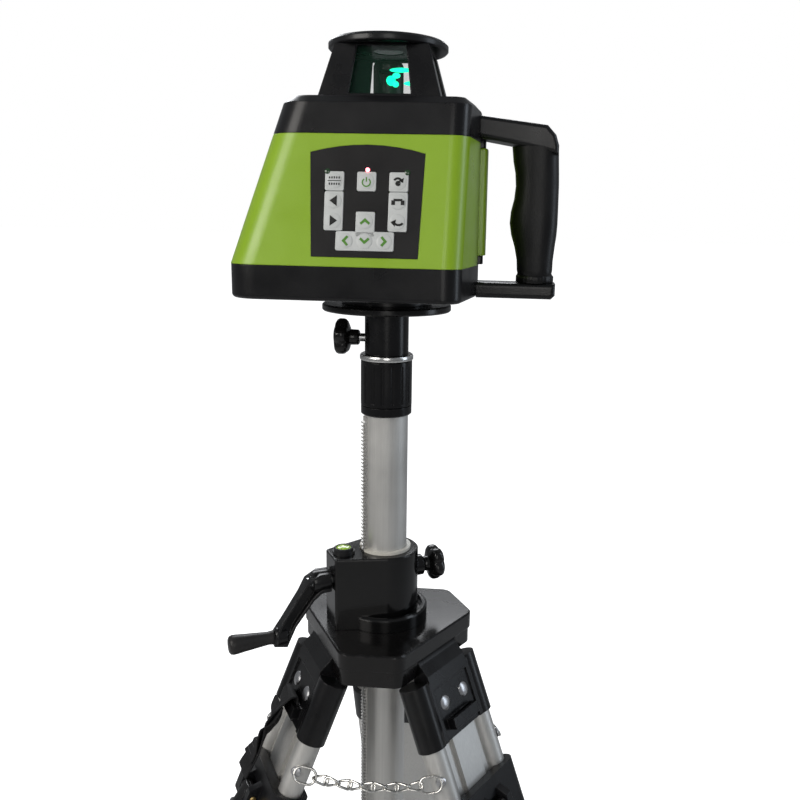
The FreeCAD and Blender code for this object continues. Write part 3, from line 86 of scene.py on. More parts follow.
for name, spot, aim, width, height, power, tint in (
    ("lamp_left", (-1.5, -1.5, 1.9), (0, 0, 1.05), 1.2, 1.2, 30, (1.0, 0.965, 0.92)),
    ("lamp_front", (0.35, -2.3, 1.55), (0, 0, 0.95), 0.7, 1.5, 9, (1.0, 0.98, 0.95)),
    ("lamp_right", (1.7, 0.1, 1.5), (0, 0, 0.95), 0.5, 1.8, 9, (0.80, 0.89, 1.0)),
    ("lamp_back", (-0.5, 1.7, 2.2), (0, 0, 1.0), 1.4, 0.8, 22, (0.95, 0.97, 1.0)),
):
    data = bpy.data.lights.new(name, "AREA")
    data.shape = "RECTANGLE"
    data.size, data.size_y = width, height
    data.energy = power
    data.color = tint
    lamp = bpy.data.objects.new(name, data)
    scene.collection.objects.link(lamp)
    lamp.location = spot
    lamp.rotation_mode = "QUATERNION"
    lamp.rotation_quaternion = (Vector(spot) - Vector(aim)).to_track_quat("Z", "Y")

sensor_width = 36.0
focal_share = 1.041125  # focal length over the sensor's width
lens = bpy.data.cameras.new("camera")
lens.sensor_width = sensor_width
lens.lens = sensor_width * focal_share
lens.shift_x = -0.06
camera = bpy.data.objects.new("camera", lens)
scene.collection.objects.link(camera)
camera.matrix_world = (
    Matrix.Translation((0.10285, -0.66518, 1.11672))
    @ Matrix.Rotation(math.radians(4.46), 4, "Z")
    @ Matrix.Rotation(math.radians(90 - 12.02), 4, "X")
    @ Matrix.Rotation(math.radians(1.30), 4, "Z")
)
scene.camera = camera

# ---- Tripod platform ----
# Two stacked aluminium castings, sprayed with a thick gloss black enamel over a faint cast skin.
# The lower one carries the three leg hinges in notches, on steel pins.


def finish(name, colour, rough, metal=0.0, mottle=0.10, grain=0.0, grain_size=900.0, wear=0.0,
           edge=0.0, coat=0.0, flow=None):
    """A surface: base colour with slow and fine variation, a skin, rounded edges and rubbed ones."""
    rubbed_metal = (0.55, 0.55, 0.56)
    drawn_out = 0.012  # how far the fine grain stretches along a drawn tube
    made = bpy.data.materials.new(name)
    made.use_nodes = True
    tree = made.node_tree
    shade = tree.nodes["Principled BSDF"]
    link = tree.links.new
    where = tree.nodes.new("ShaderNodeTexCoord").outputs["Object"]
    shade.inputs["Metallic"].default_value = metal
    shade.inputs["Coat Weight"].default_value = coat
    shade.inputs["Coat Roughness"].default_value = 0.12
    shade.inputs["Specular IOR Level"].default_value = 0.5 if max(colour) > 0.05 or metal else 0.28
    if flow is not None:
        lay = tree.nodes.new("ShaderNodeMapping")
        lay.inputs["Rotation"].default_value = flow
        lay.inputs["Scale"].default_value = (1, 1, drawn_out)
        link(where, lay.inputs["Vector"])
        along = lay.outputs["Vector"]
    else:
        along = where

    def noise(scale, detail, source):
        node = tree.nodes.new("ShaderNodeTexNoise")
        node.inputs["Scale"].default_value = scale
        node.inputs["Detail"].default_value = detail
        link(source, node.inputs["Vector"])
        return node.outputs["Fac"]

    def spread(source, low, high, start=0.3, end=0.7):
        node = tree.nodes.new("ShaderNodeMapRange")
        node.inputs["From Min"].default_value = start
        node.inputs["From Max"].default_value = end
        node.inputs["To Min"].default_value = low
        node.inputs["To Max"].default_value = high
        link(source, node.inputs["Value"])
        return node.outputs["Result"]

    cloud = noise(38.0, 5.0, where)
    fine = noise(grain_size, 3.0, along)
    ramp = tree.nodes.new("ShaderNodeValToRGB")
    dark = [c * (1 - mottle) for c in colour]
    light = [min(1.0, c * (1 + mottle) + 0.004 * mottle) for c in colour]
    ramp.color_ramp.elements[0].position = 0.32
    ramp.color_ramp.elements[0].color = (*dark, 1)
    ramp.color_ramp.elements[1].position = 0.68
    ramp.color_ramp.elements[1].color = (*light, 1)
    blend = tree.nodes.new("ShaderNodeMath")
    blend.operation = "MULTIPLY_ADD"
    link(fine, blend.inputs[0])
    blend.inputs[1].default_value = 0.55
    half = tree.nodes.new("ShaderNodeMath")
    half.operation = "MULTIPLY"
    link(cloud, half.inputs[0])
    half.inputs[1].default_value = 0.45
    link(half.outputs[0], blend.inputs[2])
    link(blend.outputs[0], ramp.inputs["Fac"])
    base = ramp.outputs["Color"]
    link(spread(cloud, max(0.03, rough - 0.06), rough + 0.07), shade.inputs["Roughness"])

    normal = None
    if edge > 0:
        soften = tree.nodes.new("ShaderNodeBevel")
        soften.samples = 4
        soften.inputs["Radius"].default_value = edge
        normal = soften.outputs["Normal"]
    if wear > 0 and normal is not None:
        face = tree.nodes.new("ShaderNodeNewGeometry").outputs["Normal"]
        bend = tree.nodes.new("ShaderNodeVectorMath")
        bend.operation = "DOT_PRODUCT"
        link(normal, bend.inputs[0])
        link(face, bend.inputs[1])
        rubbed = spread(bend.outputs["Value"], 1.0, 0.0, 0.80, 0.97)
        patchy = tree.nodes.new("ShaderNodeMath")
        patchy.operation = "MULTIPLY"
        link(rubbed, patchy.inputs[0])
        link(spread(noise(160.0, 4.0, where), 0.0, wear, 0.48, 0.75), patchy.inputs[1])
        worn = tree.nodes.new("ShaderNodeMix")
        worn.data_type = "RGBA"
        link(patchy.outputs[0], worn.inputs["Factor"])
        link(base, worn.inputs["A"])
        worn.inputs["B"].default_value = (*rubbed_metal, 1)
        base = worn.outputs["Result"]
    link(base, shade.inputs["Base Color"])
    if grain > 0:
        skin = tree.nodes.new("ShaderNodeBump")
        skin.inputs["Strength"].default_value = grain
        skin.inputs["Distance"].default_value = 0.0002
        link(fine, skin.inputs["Height"])
        if normal is not None:
            link(normal, skin.inputs["Normal"])
        normal = skin.outputs["Normal"]
    if normal is not None:
        link(normal, shade.inputs["Normal"])
    return made


def dress(names, material):
    for name in names:
        mesh = parts[name].data
        mesh.materials.clear()
        mesh.materials.append(material)


enamel = finish("black_enamel", (0.0035, 0.0032, 0.0032), 0.24, mottle=0.25, grain=0.10, grain_size=260,
                wear=0.12, edge=0.0016, coat=0.15)
dress(["platform_top", "platform_base"], enamel)
pin_steel = finish("hinge_pin_steel", (0.52, 0.52, 0.54), 0.32, metal=1.0, grain=0.15, edge=0.0003)
dress(["leg_hinge_pins"], pin_steel)

# ---- Crank housing ----
# One gloss black moulding on the platform, with a turned skirt at its foot. It holds the pinion and
# the bevel pair, and its top carries the pale guide ring and the round bubble level.

MM = 0.001  # one millimetre in the scene's metres


def new_piece(name, shape, material, body, place=None, sharp=32.0):
    """Turns a bmesh into a piece in the common frame, smooth but for its sharp edges."""
    if place is not None:
        bmesh.ops.transform(shape, matrix=place, verts=shape.verts)
    bmesh.ops.recalc_face_normals(shape, faces=shape.faces)
    for edge in shape.edges:
        edge.smooth = len(edge.link_faces) == 2 and edge.calc_face_angle(0.0) < math.radians(sharp)
    for face in shape.faces:
        face.smooth = True
    mesh = bpy.data.meshes.new(name)
    shape.to_mesh(mesh)
    shape.free()
    mesh.materials.append(material)
    piece = bpy.data.objects.new(name, mesh)
    scene.collection.objects.link(piece)
    if body:
        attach(piece, body)
    return piece


def turned(profile, steps=72, swell=None):
    """A turned shape from (radius, height) in mm about Z; swell changes the radius with the angle."""
    shape = bmesh.new()
    rings = []
    for radius, height in profile:
        if radius < 1e-6:
            rings.append([shape.verts.new((0, 0, height * MM))])
            continue
        ring = []
        for i in range(steps):
            angle = 2 * math.pi * i / steps
            r = (swell(angle, radius, height) if swell else radius) * MM
            ring.append(shape.verts.new((r * math.cos(angle), r * math.sin(angle), height * MM)))
        rings.append(ring)
    for low, high in zip(rings, rings[1:]):
        for i in range(steps):
            j = (i + 1) % steps
            if len(low) == 1 and len(high) == 1:
                continue
            if len(low) == 1:
                shape.faces.new((low[0], high[j], high[i]))
            elif len(high) == 1:
                shape.faces.new((low[i], low[j], high[0]))
            else:
                shape.faces.new((low[i], low[j], high[j], high[i]))
    return shape


def moved(x=0.0, y=0.0, z=0.0):
    return Matrix.Translation((x * MM, y * MM, z * MM))


def turn(degrees, axis):
    return Matrix.Rotation(math.radians(degrees), 4, axis)


drive = turn(210, "Z")  # the crank points over the left front leg
housing_top = 844.7
crank_height = 823.0
level_out = 37.2

housing_gloss = finish("housing_gloss", (0.003, 0.003, 0.0032), 0.15, mottle=0.2, grain=0.05,
                       grain_size=180, edge=0.0018, wear=0.05, coat=0.2)
dress(["crank_housing"], housing_gloss)
bush_nylon = finish("guide_ring_nylon", (0.62, 0.60, 0.54), 0.42, mottle=0.12, grain=0.2, edge=0.0004)
dress(["column_bushes"], bush_nylon)
bezel_black = finish("level_bezel_black", (0.014, 0.014, 0.015), 0.3, grain=0.2, edge=0.0004)
dress(["level_bezel"], bezel_black)

vial_fluid = finish("level_fluid", (0.36, 0.60, 0.03), 0.08, mottle=0.15, coat=1.0)
vial_place = drive @ moved(level_out, 0, housing_top)
vial = new_piece("level_window", turned([
    (0, 1.0), (6.5, 1.0), (6.5, 4.4), (6.0, 5.0), (5.0, 5.5), (3.4, 5.85), (1.8, 6.0), (0, 6.08),
]), vial_fluid, "tripod_head", vial_place)
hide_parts("level_vial")
bubble_air = finish("level_bubble", (0.50, 0.74, 0.10), 0.05, mottle=0.05, coat=1.0)
new_piece("level_bubble", turned([
    (0, 0.2), (1.9, 0.1), (2.3, 0.35), (1.9, 0.65), (0, 0.8),
], 32), bubble_air, "tripod_head", vial_place @ moved(0.9, -0.8, 5.55))
ring_ink = finish("level_ring_ink", (0.01, 0.012, 0.008), 0.4)
new_piece("level_target", turned([(3.0, 5.88), (3.35, 5.84), (3.4, 5.98), (3.0, 6.02), (3.0, 5.88)], 48),
          ring_ink, "tripod_head", vial_place)

# ---- Elevating column ----
# A drawn and clear-anodised aluminium tube, 36 mm across, with a toothed rack let into its side.
# Its bright skin keeps the drawing lines along its length.


def drawn_aluminium(name, flow=(0, 0, 0), tone=0.72):
    return finish(name, (tone, tone * 0.99, tone * 0.955), 0.42, metal=0.72, mottle=0.07, grain=0.25,
                  grain_size=700, flow=flow, edge=0.0003)


column_skin = drawn_aluminium("column_anodised", tone=0.58)
dress(["column_tube", "inner_column"], column_skin)
rack_cut = finish("rack_milled", (0.52, 0.51, 0.49), 0.42, metal=0.7, mottle=0.2, grain=0.3, edge=0.0002)
dress(["column_rack"], rack_cut)

# ---- Collar and head socket ----
# A fluted nylon collar squeezes the inner column, between a plain black seat ring and a bright
# spun ring. The gloss black socket above takes the head's spigot and its clamp knob.

collar_black = finish("collar_nylon", (0.006, 0.006, 0.0065), 0.22, mottle=0.2, grain=0.18,
                      grain_size=600, edge=0.0007)
dress(["collar_seat", "twist_collar", "head_socket"], collar_black)
ring_bright = finish("collar_ring_spun", (0.66, 0.66, 0.65), 0.28, metal=1.0, mottle=0.12, grain=0.3)
new_piece("collar_ring", turned([
    (17.9, 1007.6), (21.45, 1007.2), (21.75, 1007.8), (21.75, 1010.4), (21.3, 1011.2), (17.9, 1011.2),
    (17.9, 1007.6),
], 96), ring_bright, "inner_column")

knob_plastic = finish("knob_bakelite", (0.007, 0.0065, 0.0065), 0.2, mottle=0.25, grain=0.12,
                      grain_size=500, coat=0.15)
screw_steel = finish("screw_zinc", (0.60, 0.60, 0.60), 0.25, metal=1.0, mottle=0.15, grain=0.2)


def lobed_knob(name, node, body, place, screw, screw_end, hub_end, rim, tip):
    """Five lobes round a domed disc, a hub behind it and a steel screw, all along +Z of the place."""

    def lobes(angle, radius, height):
        if radius < 7.5:
            return radius
        share = min(1.0, (radius - 7.5) / (rim - 7.5))
        wave = (0.5 + 0.5 * math.cos(5 * angle)) ** 0.5
        return radius * (1 - 0.20 * share * (1 - wave))

    head = turned([
        (0, screw_end), (5.4, screw_end), (6.2, screw_end + 0.8), (6.4, hub_end - 1.0), (8.2, hub_end),
        (rim - 4.4, hub_end + 0.4), (rim - 2.0, hub_end + 1.4), (rim - 0.5, hub_end + 2.8),
        (rim, hub_end + 4.4), (rim, tip - 4.0), (rim - 0.9, tip - 2.2), (rim - 2.8, tip - 0.9),
        (rim - 6.0, tip - 0.3), (5.0, tip), (4.2, tip - 0.8), (0, tip - 0.8),
    ], 96, lobes)
    knob = new_piece(name, head, knob_plastic, body, place, 55)
    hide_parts(node)
    turns = []
    step = 0.5
    height = 0.4
    while height < screw_end:
        turns += [(screw - 0.35, height), (screw, height + step / 2)]
        height += step * 2
    shank = [(0, 0), (screw - 0.6, 0), *turns, (screw - 0.3, screw_end), (0, screw_end)]
    new_piece(name + "_screw", turned(shank, 40), screw_steel, body, place, 80)
    button = [(0, tip - 1.0), (4.1, tip - 1.0), (4.0, tip - 0.5), (0, tip - 0.35)]
    new_piece(name + "_cap", turned(button, 40), screw_steel, body, place)


lobed_knob("head_clamp_knob", "head_knob", "head_knob", moved(-11.1, 0, 1024) @ turn(-90, "Y"),
           3.5, 11.4, 19.4, 15.0, 31.2)
lobed_knob("column_clamp_knob", "column_lock_knob", "column_lock_knob",
           turn(30, "Z") @ moved(18.1, 0, crank_height) @ turn(90, "Y"), 4.0, 17.0, 22.5, 15.5, 34.0)

# ---- Head disc ----
# A turned aluminium disc, sprayed black, with a standard threaded stud through its middle.

dress(["head_disc"], enamel)
dress(["mount_stud"], pin_steel)
brass = finish("insert_brass", (0.62, 0.43, 0.16), 0.3, metal=1.0, grain=0.2)
dress(["thread_insert"], brass)

# ---- Crank ----
# A black die-cast arm with a channel down its face, on a steel shaft held by a blacked screw, and a
# tapered plastic grip that spins on its own pin.

crank_cast = finish("crank_enamel", (0.006, 0.006, 0.0065), 0.25, mottle=0.2, grain=0.18, grain_size=320,
                    wear=0.15, edge=0.001, coat=0.12)
dress(["crank_shaft", "pinion_shaft"], screw_steel)


def loft(sections):
    """Skins a list of equal rings of points, in mm, and caps both ends."""
    shape = bmesh.new()
    rings = [[shape.verts.new(Vector(p) * MM) for p in ring] for ring in sections]
    count = len(rings[0])
    for low, high in zip(rings, rings[1:]):
        for i in range(count):
            j = (i + 1) % count
            shape.faces.new((low[i], low[j], high[j], high[i]))
    shape.faces.new(list(reversed(rings[0])))
    shape.faces.new(rings[-1])
    return shape


def rounded(corners, radius, steps=5):
    """Points of a closed outline with its corners rounded; radius may be one value or one each."""
    count = len(corners)
    points = []
    for i in range(count):
        r = radius[i] if isinstance(radius, (list, tuple)) else radius
        here = Vector(corners[i])
        before = (Vector(corners[i - 1]) - here)
        after = (Vector(corners[(i + 1) % count]) - here)
        if r <= 0:
            points.append(here)
            continue
        angle = before.angle(after)
        cut = min(r / math.tan(angle / 2), before.length * 0.49, after.length * 0.49)
        start, end = here + before.normalized() * cut, here + after.normalized() * cut
        for k in range(steps + 1):
            t = k / steps
            points.append(start * (1 - t) ** 2 + here * (2 * t * (1 - t)) + end * t * t)
    return points


def slab(outline, low, high, rim=0.4, rim_steps=3):
    """A plate of that outline between two heights, with a rounded rim on its top."""
    middle = sum((Vector(p) for p in outline), Vector((0, 0))) / len(outline)
    shape = bmesh.new()
    rings = []
    levels = [(0.0, low), (0.0, high - rim)]
    for k in range(1, rim_steps + 1):
        a = math.pi / 2 * k / rim_steps
        levels.append((rim * (1 - math.cos(a)), high - rim + rim * math.sin(a)))
    count = len(outline)
    for inset, height in levels:
        ring = []
        for i in range(count):
            p = Vector(outline[i])
            a = (Vector(outline[i - 1]) - p).normalized()
            b = (Vector(outline[(i + 1) % count]) - p).normalized()
            inward = a + b
            if inward.length < 1e-4:
                inward = Vector((-a.y, a.x))
            inward.normalize()
            if inward.dot(middle - p) < 0:
                inward = -inward
            q = p + inward * inset
            ring.append(shape.verts.new((q.x * MM, q.y * MM, height * MM)))
        rings.append(ring)
    for low_ring, high_ring in zip(rings, rings[1:]):
        for i in range(count):
            j = (i + 1) % count
            shape.faces.new((low_ring[i], low_ring[j], high_ring[j], high_ring[i]))
    shape.faces.new(list(reversed(rings[0])))
    shape.faces.new(rings[-1])
    return shape


def soften(piece, width):
    """Rounds a casting's or a moulding's edges by that width in mm."""
    edges = piece.modifiers.new("rounded_edges", "BEVEL")
    edges.width, edges.segments, edges.limit_method = width * MM, 3, "ANGLE"


foot_height = crank_height - 43.0
channel_start, channel_end = 2, 4
arm_line = [(50, crank_height), (58, crank_height), (64, crank_height - 3), (70, crank_height - 11),
            (85, foot_height + 11), (91.5, foot_height), (93, foot_height - 7.5)]
arm_half = [8.0, 8.3, 8.2, 7.0, 6.2, 6.6, 5.6]
arm_deep = [7.6, 7.8, 7.0, 5.2, 5.0, 6.6, 5.4]
arm_sections = []
for k, (r, z) in enumerate(arm_line):
    ahead = Vector(arm_line[min(k + 1, len(arm_line) - 1)]) - Vector(arm_line[max(k - 1, 0)])
    across = Vector((-ahead.y, ahead.x)).normalized()
    w, t = arm_half[k], arm_deep[k]
    hollow = t * 0.15 if channel_start <= k <= channel_end else t
    arm_sections.append([(r + across.x * u, v, z + across.y * u) for u, v in (
        (-w, -t), (w, -t), (w, t), (w * 0.66, t), (w * 0.56, hollow), (-w * 0.56, hollow),
        (-w * 0.66, t), (-w, t))])
crank_arm = new_piece("crank_arm_casting", loft(arm_sections), crank_cast, "crank",
                      drive, 40)
soften(crank_arm, 0.9)
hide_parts("crank_arm")
along_shaft = drive @ moved(0, 0, crank_height) @ turn(90, "Y")
along_grip = drive @ moved(0, 0, foot_height) @ turn(90, "Y")
new_piece("crank_hub", turned([
    (5.1, 50.0), (8.6, 50.0), (9.2, 50.8), (9.2, 62.5), (8.4, 64.6), (6.6, 65.4), (5.4, 65.4), (5.2, 64.2),
    (5.1, 64.2), (5.1, 50.0),
]), crank_cast, "crank", along_shaft)
new_piece("crank_screw", turned([
    (0, 63.6), (4.9, 63.6), (5.0, 65.6), (4.3, 66.8), (2.6, 67.4), (0.9, 67.4), (0.9, 66.6), (0, 66.6),
], 40), crank_cast, "crank", along_shaft)
new_piece("crank_boss", turned([
    (0, 86.5), (6.4, 86.5), (7.6, 87.6), (7.8, 95.6), (6.6, 97.0), (3.6, 97.0), (3.6, 126.0), (0, 126.0),
]), crank_cast, "crank", along_grip)
grip_satin = finish("crank_grip_satin", (0.020, 0.019, 0.019), 0.42, mottle=0.15, grain=0.25,
                    grain_size=500)
grip = new_piece("crank_handle", turned([
    (3.7, 97.4), (5.2, 97.4), (5.7, 98.1), (5.6, 100.0), (5.3, 102.0), (5.6, 106), (6.3, 113), (7.1, 122),
    (7.8, 128), (7.9, 131.0), (7.2, 133.2), (5.6, 134.2), (0, 134.6), (0, 130.5), (3.7, 130.5), (3.7, 97.4),
]), grip_satin, "crank_grip", along_grip, 50)
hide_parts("crank_grip")

# ---- Legs ----
# Each leg hangs from a black die-cast bracket. Its upper part is one extrusion, two tubes tied by a
# web, and slides in a larger lower section, which a lever clamp grips. Steel rivets hold the tubes.

leg_directions = {"a": 210.0, "b": 330.0, "c": 90.0}
splay = 22.8
hinge_out, hinge_up = 52.0, 761.0
tube_gap, tube_round = 33.5, 10.0
leg_face = 8.2
rivet_across, rivet_drop = 13.2, -36.7
lever_out, lever_drop = 19.65, -133.0
bracket_cast = finish("bracket_enamel", (0.004, 0.004, 0.0045), 0.3, mottle=0.2, grain=0.22, grain_size=300,
                      wear=0.15, edge=0.0012, coat=0.1)
clamp_nylon = finish("clamp_nylon", (0.007, 0.007, 0.008), 0.34, mottle=0.2, grain=0.3, grain_size=420,
                     edge=0.001)
rubber = finish("foot_rubber", (0.014, 0.014, 0.014), 0.7, mottle=0.3, grain=0.6, grain_size=260,
                edge=0.001)
rivet_steel = finish("rivet_steel", (0.52, 0.52, 0.53), 0.34, metal=1.0, mottle=0.18, grain=0.2)
pin_brass = finish("lever_pin_brass", (0.55, 0.40, 0.17), 0.35, metal=1.0, mottle=0.2, grain=0.2)
chain_drop = -89.0
chain_lean = 35  # degrees that a chain's rivet sits round its tube


def leg_place(leg):
    """The place of a leg's hinge, its third axis up the leg and its second one outward."""
    return turn(leg_directions[leg] - 90, "Z") @ moved(0, hinge_out, hinge_up) @ turn(splay, "X")


for leg in leg_directions:
    stand = leg_place(leg)
    upper, lower, flip = f"upper_leg_{leg}", f"lower_leg_{leg}", f"clamp_lever_{leg}"
    flow = (stand.to_3x3().inverted()).to_euler()
    skin = drawn_aluminium(f"leg_anodised_{leg}", tuple(flow), 0.58)
    dress([f"upper_tubes_{leg}", f"lower_leg_{leg}"], skin)
    dress([f"leg_bracket_{leg}"], bracket_cast)
    dress([f"leg_clamp_{leg}"], clamp_nylon)
    dress([f"leg_foot_{leg}"], rubber)
    outward = turn(-90, "X")
    for side, hand in ((-1, "left"), (1, "right")):
        rivet = turned([(0, 0), (6.0, 0), (6.2, 0.5), (5.8, 1.5), (4.6, 2.3), (2.6, 2.8), (0, 2.9)], 40)
        new_piece(f"bracket_rivet_{leg}_{hand}", rivet, rivet_steel, upper,
                  stand @ moved(side * rivet_across, leg_face, rivet_drop) @ outward)
        peg = turned([(0, 0), (4.2, 0), (4.3, 0.5), (3.6, 1.4), (1.8, 1.9), (0, 2.0)], 32)
        new_piece(f"chain_rivet_{leg}_{hand}", peg, rivet_steel, upper,
                  stand @ moved(side * tube_gap, 0, chain_drop) @ turn(chain_lean * side, "Z")
                  @ moved(side * tube_round, 0, 0) @ turn(90 * side, "Y"))
    pivot = stand @ moved(0, lever_out, lever_drop)
    neck = 14.8
    blade = []
    for z, y, half, thick in (
        (5.0, 0.5, neck / 2, 4.0), (-4, 2.2, neck / 2, 4.4), (-13, 4.2, neck / 2, 4.2),
        (-17, 4.8, 13.0, 4.0), (-30, 5.0, 14.6, 3.6), (-44, 4.4, 14.0, 3.2), (-53.5, 4.2, 10.5, 2.2),
    ):
        blade.append([(x, y + s, z) for x, s in (
            (-half, -thick * 0.5), (-half, thick * 0.35), (-half * 0.8, thick * 0.8), (0, thick),
            (half * 0.8, thick * 0.8), (half, thick * 0.35), (half, -thick * 0.5),
            (half * 0.7, -thick * 0.8), (-half * 0.7, -thick * 0.8))])
    lever = new_piece(f"lever_blade_{leg}", loft(blade), knob_plastic, flip, pivot, 30)
    soften(lever, 0.7)
    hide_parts(f"clamp_lever_{leg}")
    new_piece(f"lever_hub_{leg}", turned([
        (0, -7.3), (4.6, -7.3), (5.1, -6.6), (5.1, 6.6), (4.6, 7.3), (0, 7.3)], 40),
        knob_plastic, flip, pivot @ turn(90, "Y"))
    new_piece(f"lever_pin_{leg}", turned([
        (0, -16.6), (1.6, -16.6), (2.5, -15.8), (2.5, 15.8), (1.6, 16.6), (0, 16.6)], 28),
        pin_brass, flip, pivot @ turn(90, "Y"))
    slot_mark = slab(rounded([(-5.5, -1.1), (5.5, -1.1), (5.5, 1.1), (-5.5, 1.1)], 1.0), 0, 0.25, 0.1, 1)
    new_piece(f"lever_slot_{leg}", slot_mark, rubber, flip,
              pivot @ moved(0, 8.4, -24) @ outward)

# ---- Leg chains ----
# Nickel-plated curb chain between each pair of legs: a large ring on a rivet, twisted links and a
# ring again, so that the legs can't slide apart. Each chain is made in two halves, neither fixed to a leg.


def link_tube(half_long, half_wide, wire, twist):
    """One oval link in mm about the origin, long along X, its second half turned by the twist."""
    shape = bmesh.new()
    around, across = 28, 8
    rings = []
    straight = half_long - half_wide
    path = []
    for i in range(around):
        a = 2 * math.pi * i / around
        x = math.cos(a) * half_wide + math.copysign(straight, math.cos(a))
        path.append(Vector((x, math.sin(a) * half_wide, 0)))
    for i in range(around):
        here, ahead, behind = path[i], path[(i + 1) % around], path[i - 1]
        along = (ahead - behind).normalized()
        side = along.cross(Vector((0, 0, 1)))
        ring = []
        for k in range(across):
            b = 2 * math.pi * k / across
            p = here + side * (math.cos(b) * wire) + Vector((0, 0, math.sin(b) * wire))
            spun = Matrix.Rotation(twist * p.x / half_long, 3, "X") @ p
            ring.append(shape.verts.new(spun * MM))
        rings.append(ring)
    for i in range(around):
        low, high = rings[i], rings[(i + 1) % around]
        for k in range(across):
            m = (k + 1) % across
            shape.faces.new((low[k], low[m], high[m], high[k]))
    return shape


chain_plate = finish("chain_nickel", (0.66, 0.65, 0.62), 0.2, metal=1.0, mottle=0.2, grain=0.2)


def anchor(leg, side):
    """Where a chain's end hangs on that side of a leg."""
    lean = math.radians(chain_lean)
    reach = tube_round + 2.2
    across, out = tube_gap + reach * math.cos(lean), reach * math.sin(lean)
    return leg_place(leg) @ (Vector((side * across, out, chain_drop)) * MM)


def join(shape, other):
    """Adds one bmesh's faces to another."""
    scratch = bpy.data.meshes.new("scratch")
    other.to_mesh(scratch)
    other.free()
    shape.from_mesh(scratch)
    bpy.data.meshes.remove(scratch)


sag = 0.008
ring_long, ring_wide, wire = 9.0, 6.2, 1.1
small_long, small_wide, small_twist = 5.7, 3.5, math.radians(38)
pitch_ring, pitch_small = 2 * (ring_long - wire) * MM, 2 * (small_long - wire) * MM
chain_shown = []
for left, right in (("a", "b"), ("b", "c"), ("c", "a")):
    start, end = anchor(left, -1), anchor(right, 1)
    span = end - start
    count = int(round((span.length - 2 * pitch_ring) / pitch_small))
    marks = [pitch_ring / 2]
    for i in range(count):
        marks.append(pitch_ring + (span.length - 2 * pitch_ring) * (i + 0.5) / count)
    marks.append(span.length - pitch_ring / 2)
    for half in (0, 1):
        shape = bmesh.new()
        for i, mark in enumerate(marks):
            share = mark / span.length
            if (share < 0.5) != (half == 0):
                continue
            big = i in (0, len(marks) - 1)
            spot = start + span * share - Vector((0, 0, 4 * sag * share * (1 - share)))
            slope = span.normalized() - Vector((0, 0, 4 * sag * (1 - 2 * share) / span.length))
            lie = slope.to_track_quat("X", "Z").to_matrix().to_4x4()
            roll = 62.0 if big else (18.0 if i % 2 else 100.0)
            if big:
                one = link_tube(ring_long, ring_wide, wire, 0.0)
            else:
                one = link_tube(small_long + 0.5, small_wide, wire, small_twist)
            place = Matrix.Translation(spot) @ lie @ turn(roll, "X")
            bmesh.ops.transform(one, matrix=place, verts=one.verts)
            join(shape, one)
        name = f"chain_{left}{right}_{'first' if half == 0 else 'second'}"
        piece = new_piece(name, shape, chain_plate, None, None, 80)
        chain_shown.append(piece)
        if half == 0:
            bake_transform(piece)
        else:
            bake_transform(piece)
for piece in chain_shown:
    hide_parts("leg_chains")

# ---- Carrying strap ----
# Black nylon webbing, 25 mm wide, threaded through the left leg's loop, folded on itself and sewn.

webbing = finish("webbing_black", (0.009, 0.009, 0.010), 0.75, mottle=0.3, grain=0.9, grain_size=900)
tree = webbing.node_tree
weave = tree.nodes.new("ShaderNodeTexWave")
weave.wave_type, weave.bands_direction = "BANDS", "Z"
weave.inputs["Scale"].default_value = 260
weave.inputs["Distortion"].default_value = 1.2
weave_at = tree.nodes.new("ShaderNodeTexCoord")
tree.links.new(weave_at.outputs["Object"], weave.inputs["Vector"])
weave_skin = tree.nodes.new("ShaderNodeBump")
weave_skin.inputs["Strength"].default_value = 0.6
weave_skin.inputs["Distance"].default_value = 0.0004
tree.links.new(weave.outputs["Fac"], weave_skin.inputs["Height"])
strap_normal = tree.nodes["Principled BSDF"].inputs["Normal"]
tree.links.new(strap_normal.links[0].from_socket, weave_skin.inputs["Normal"])
tree.links.new(weave_skin.outputs["Normal"], strap_normal)


def ribbon(path, half, thick, wave=0.0, twist=None):
    """Webbing along a path of (across, out, up) points in mm, smoothed, with rounded selvedges."""
    selvedge = 0.5
    points = []
    for i in range(len(path) - 1):
        a = Vector(path[max(i - 1, 0)])
        b, c = Vector(path[i]), Vector(path[i + 1])
        d = Vector(path[min(i + 2, len(path) - 1)])
        for k in range(6):
            t = k / 6
            points.append(0.5 * ((2 * b) + (c - a) * t + (2 * a - 5 * b + 4 * c - d) * t * t
                                 + (3 * b - a - 3 * c + d) * t ** 3))
    points.append(Vector(path[-1]))
    sections = []
    for i, p in enumerate(points):
        ahead = (points[min(i + 1, len(points) - 1)] - points[max(i - 1, 0)]).normalized()
        out = Vector((1, 0, 0)).cross(ahead).normalized()
        wide = Vector((1, 0, 0))
        if twist:
            roll = Matrix.Rotation(twist(i / (len(points) - 1)), 3, ahead)
            out, wide = roll @ out, roll @ wide
        ripple = wave * math.sin(i * 0.9)
        ring = []
        for x, s in ((-half, 0), (selvedge - half, thick / 2), (-half * 0.5, thick / 2),
                     (0, thick / 2 + 0.08), (half * 0.5, thick / 2), (half - selvedge, thick / 2),
                     (half, 0), (half - selvedge, -thick / 2), (0, -thick / 2),
                     (selvedge - half, -thick / 2)):
            ring.append(p + wide * x + out * (s + ripple))
        sections.append(ring)
    return loft(sections)


def half_turn(middle, spread):
    """A twist of the webbing that comes and goes about one share of its length."""
    return lambda share: 0.85 * math.exp(-((share - middle) / spread) ** 2)


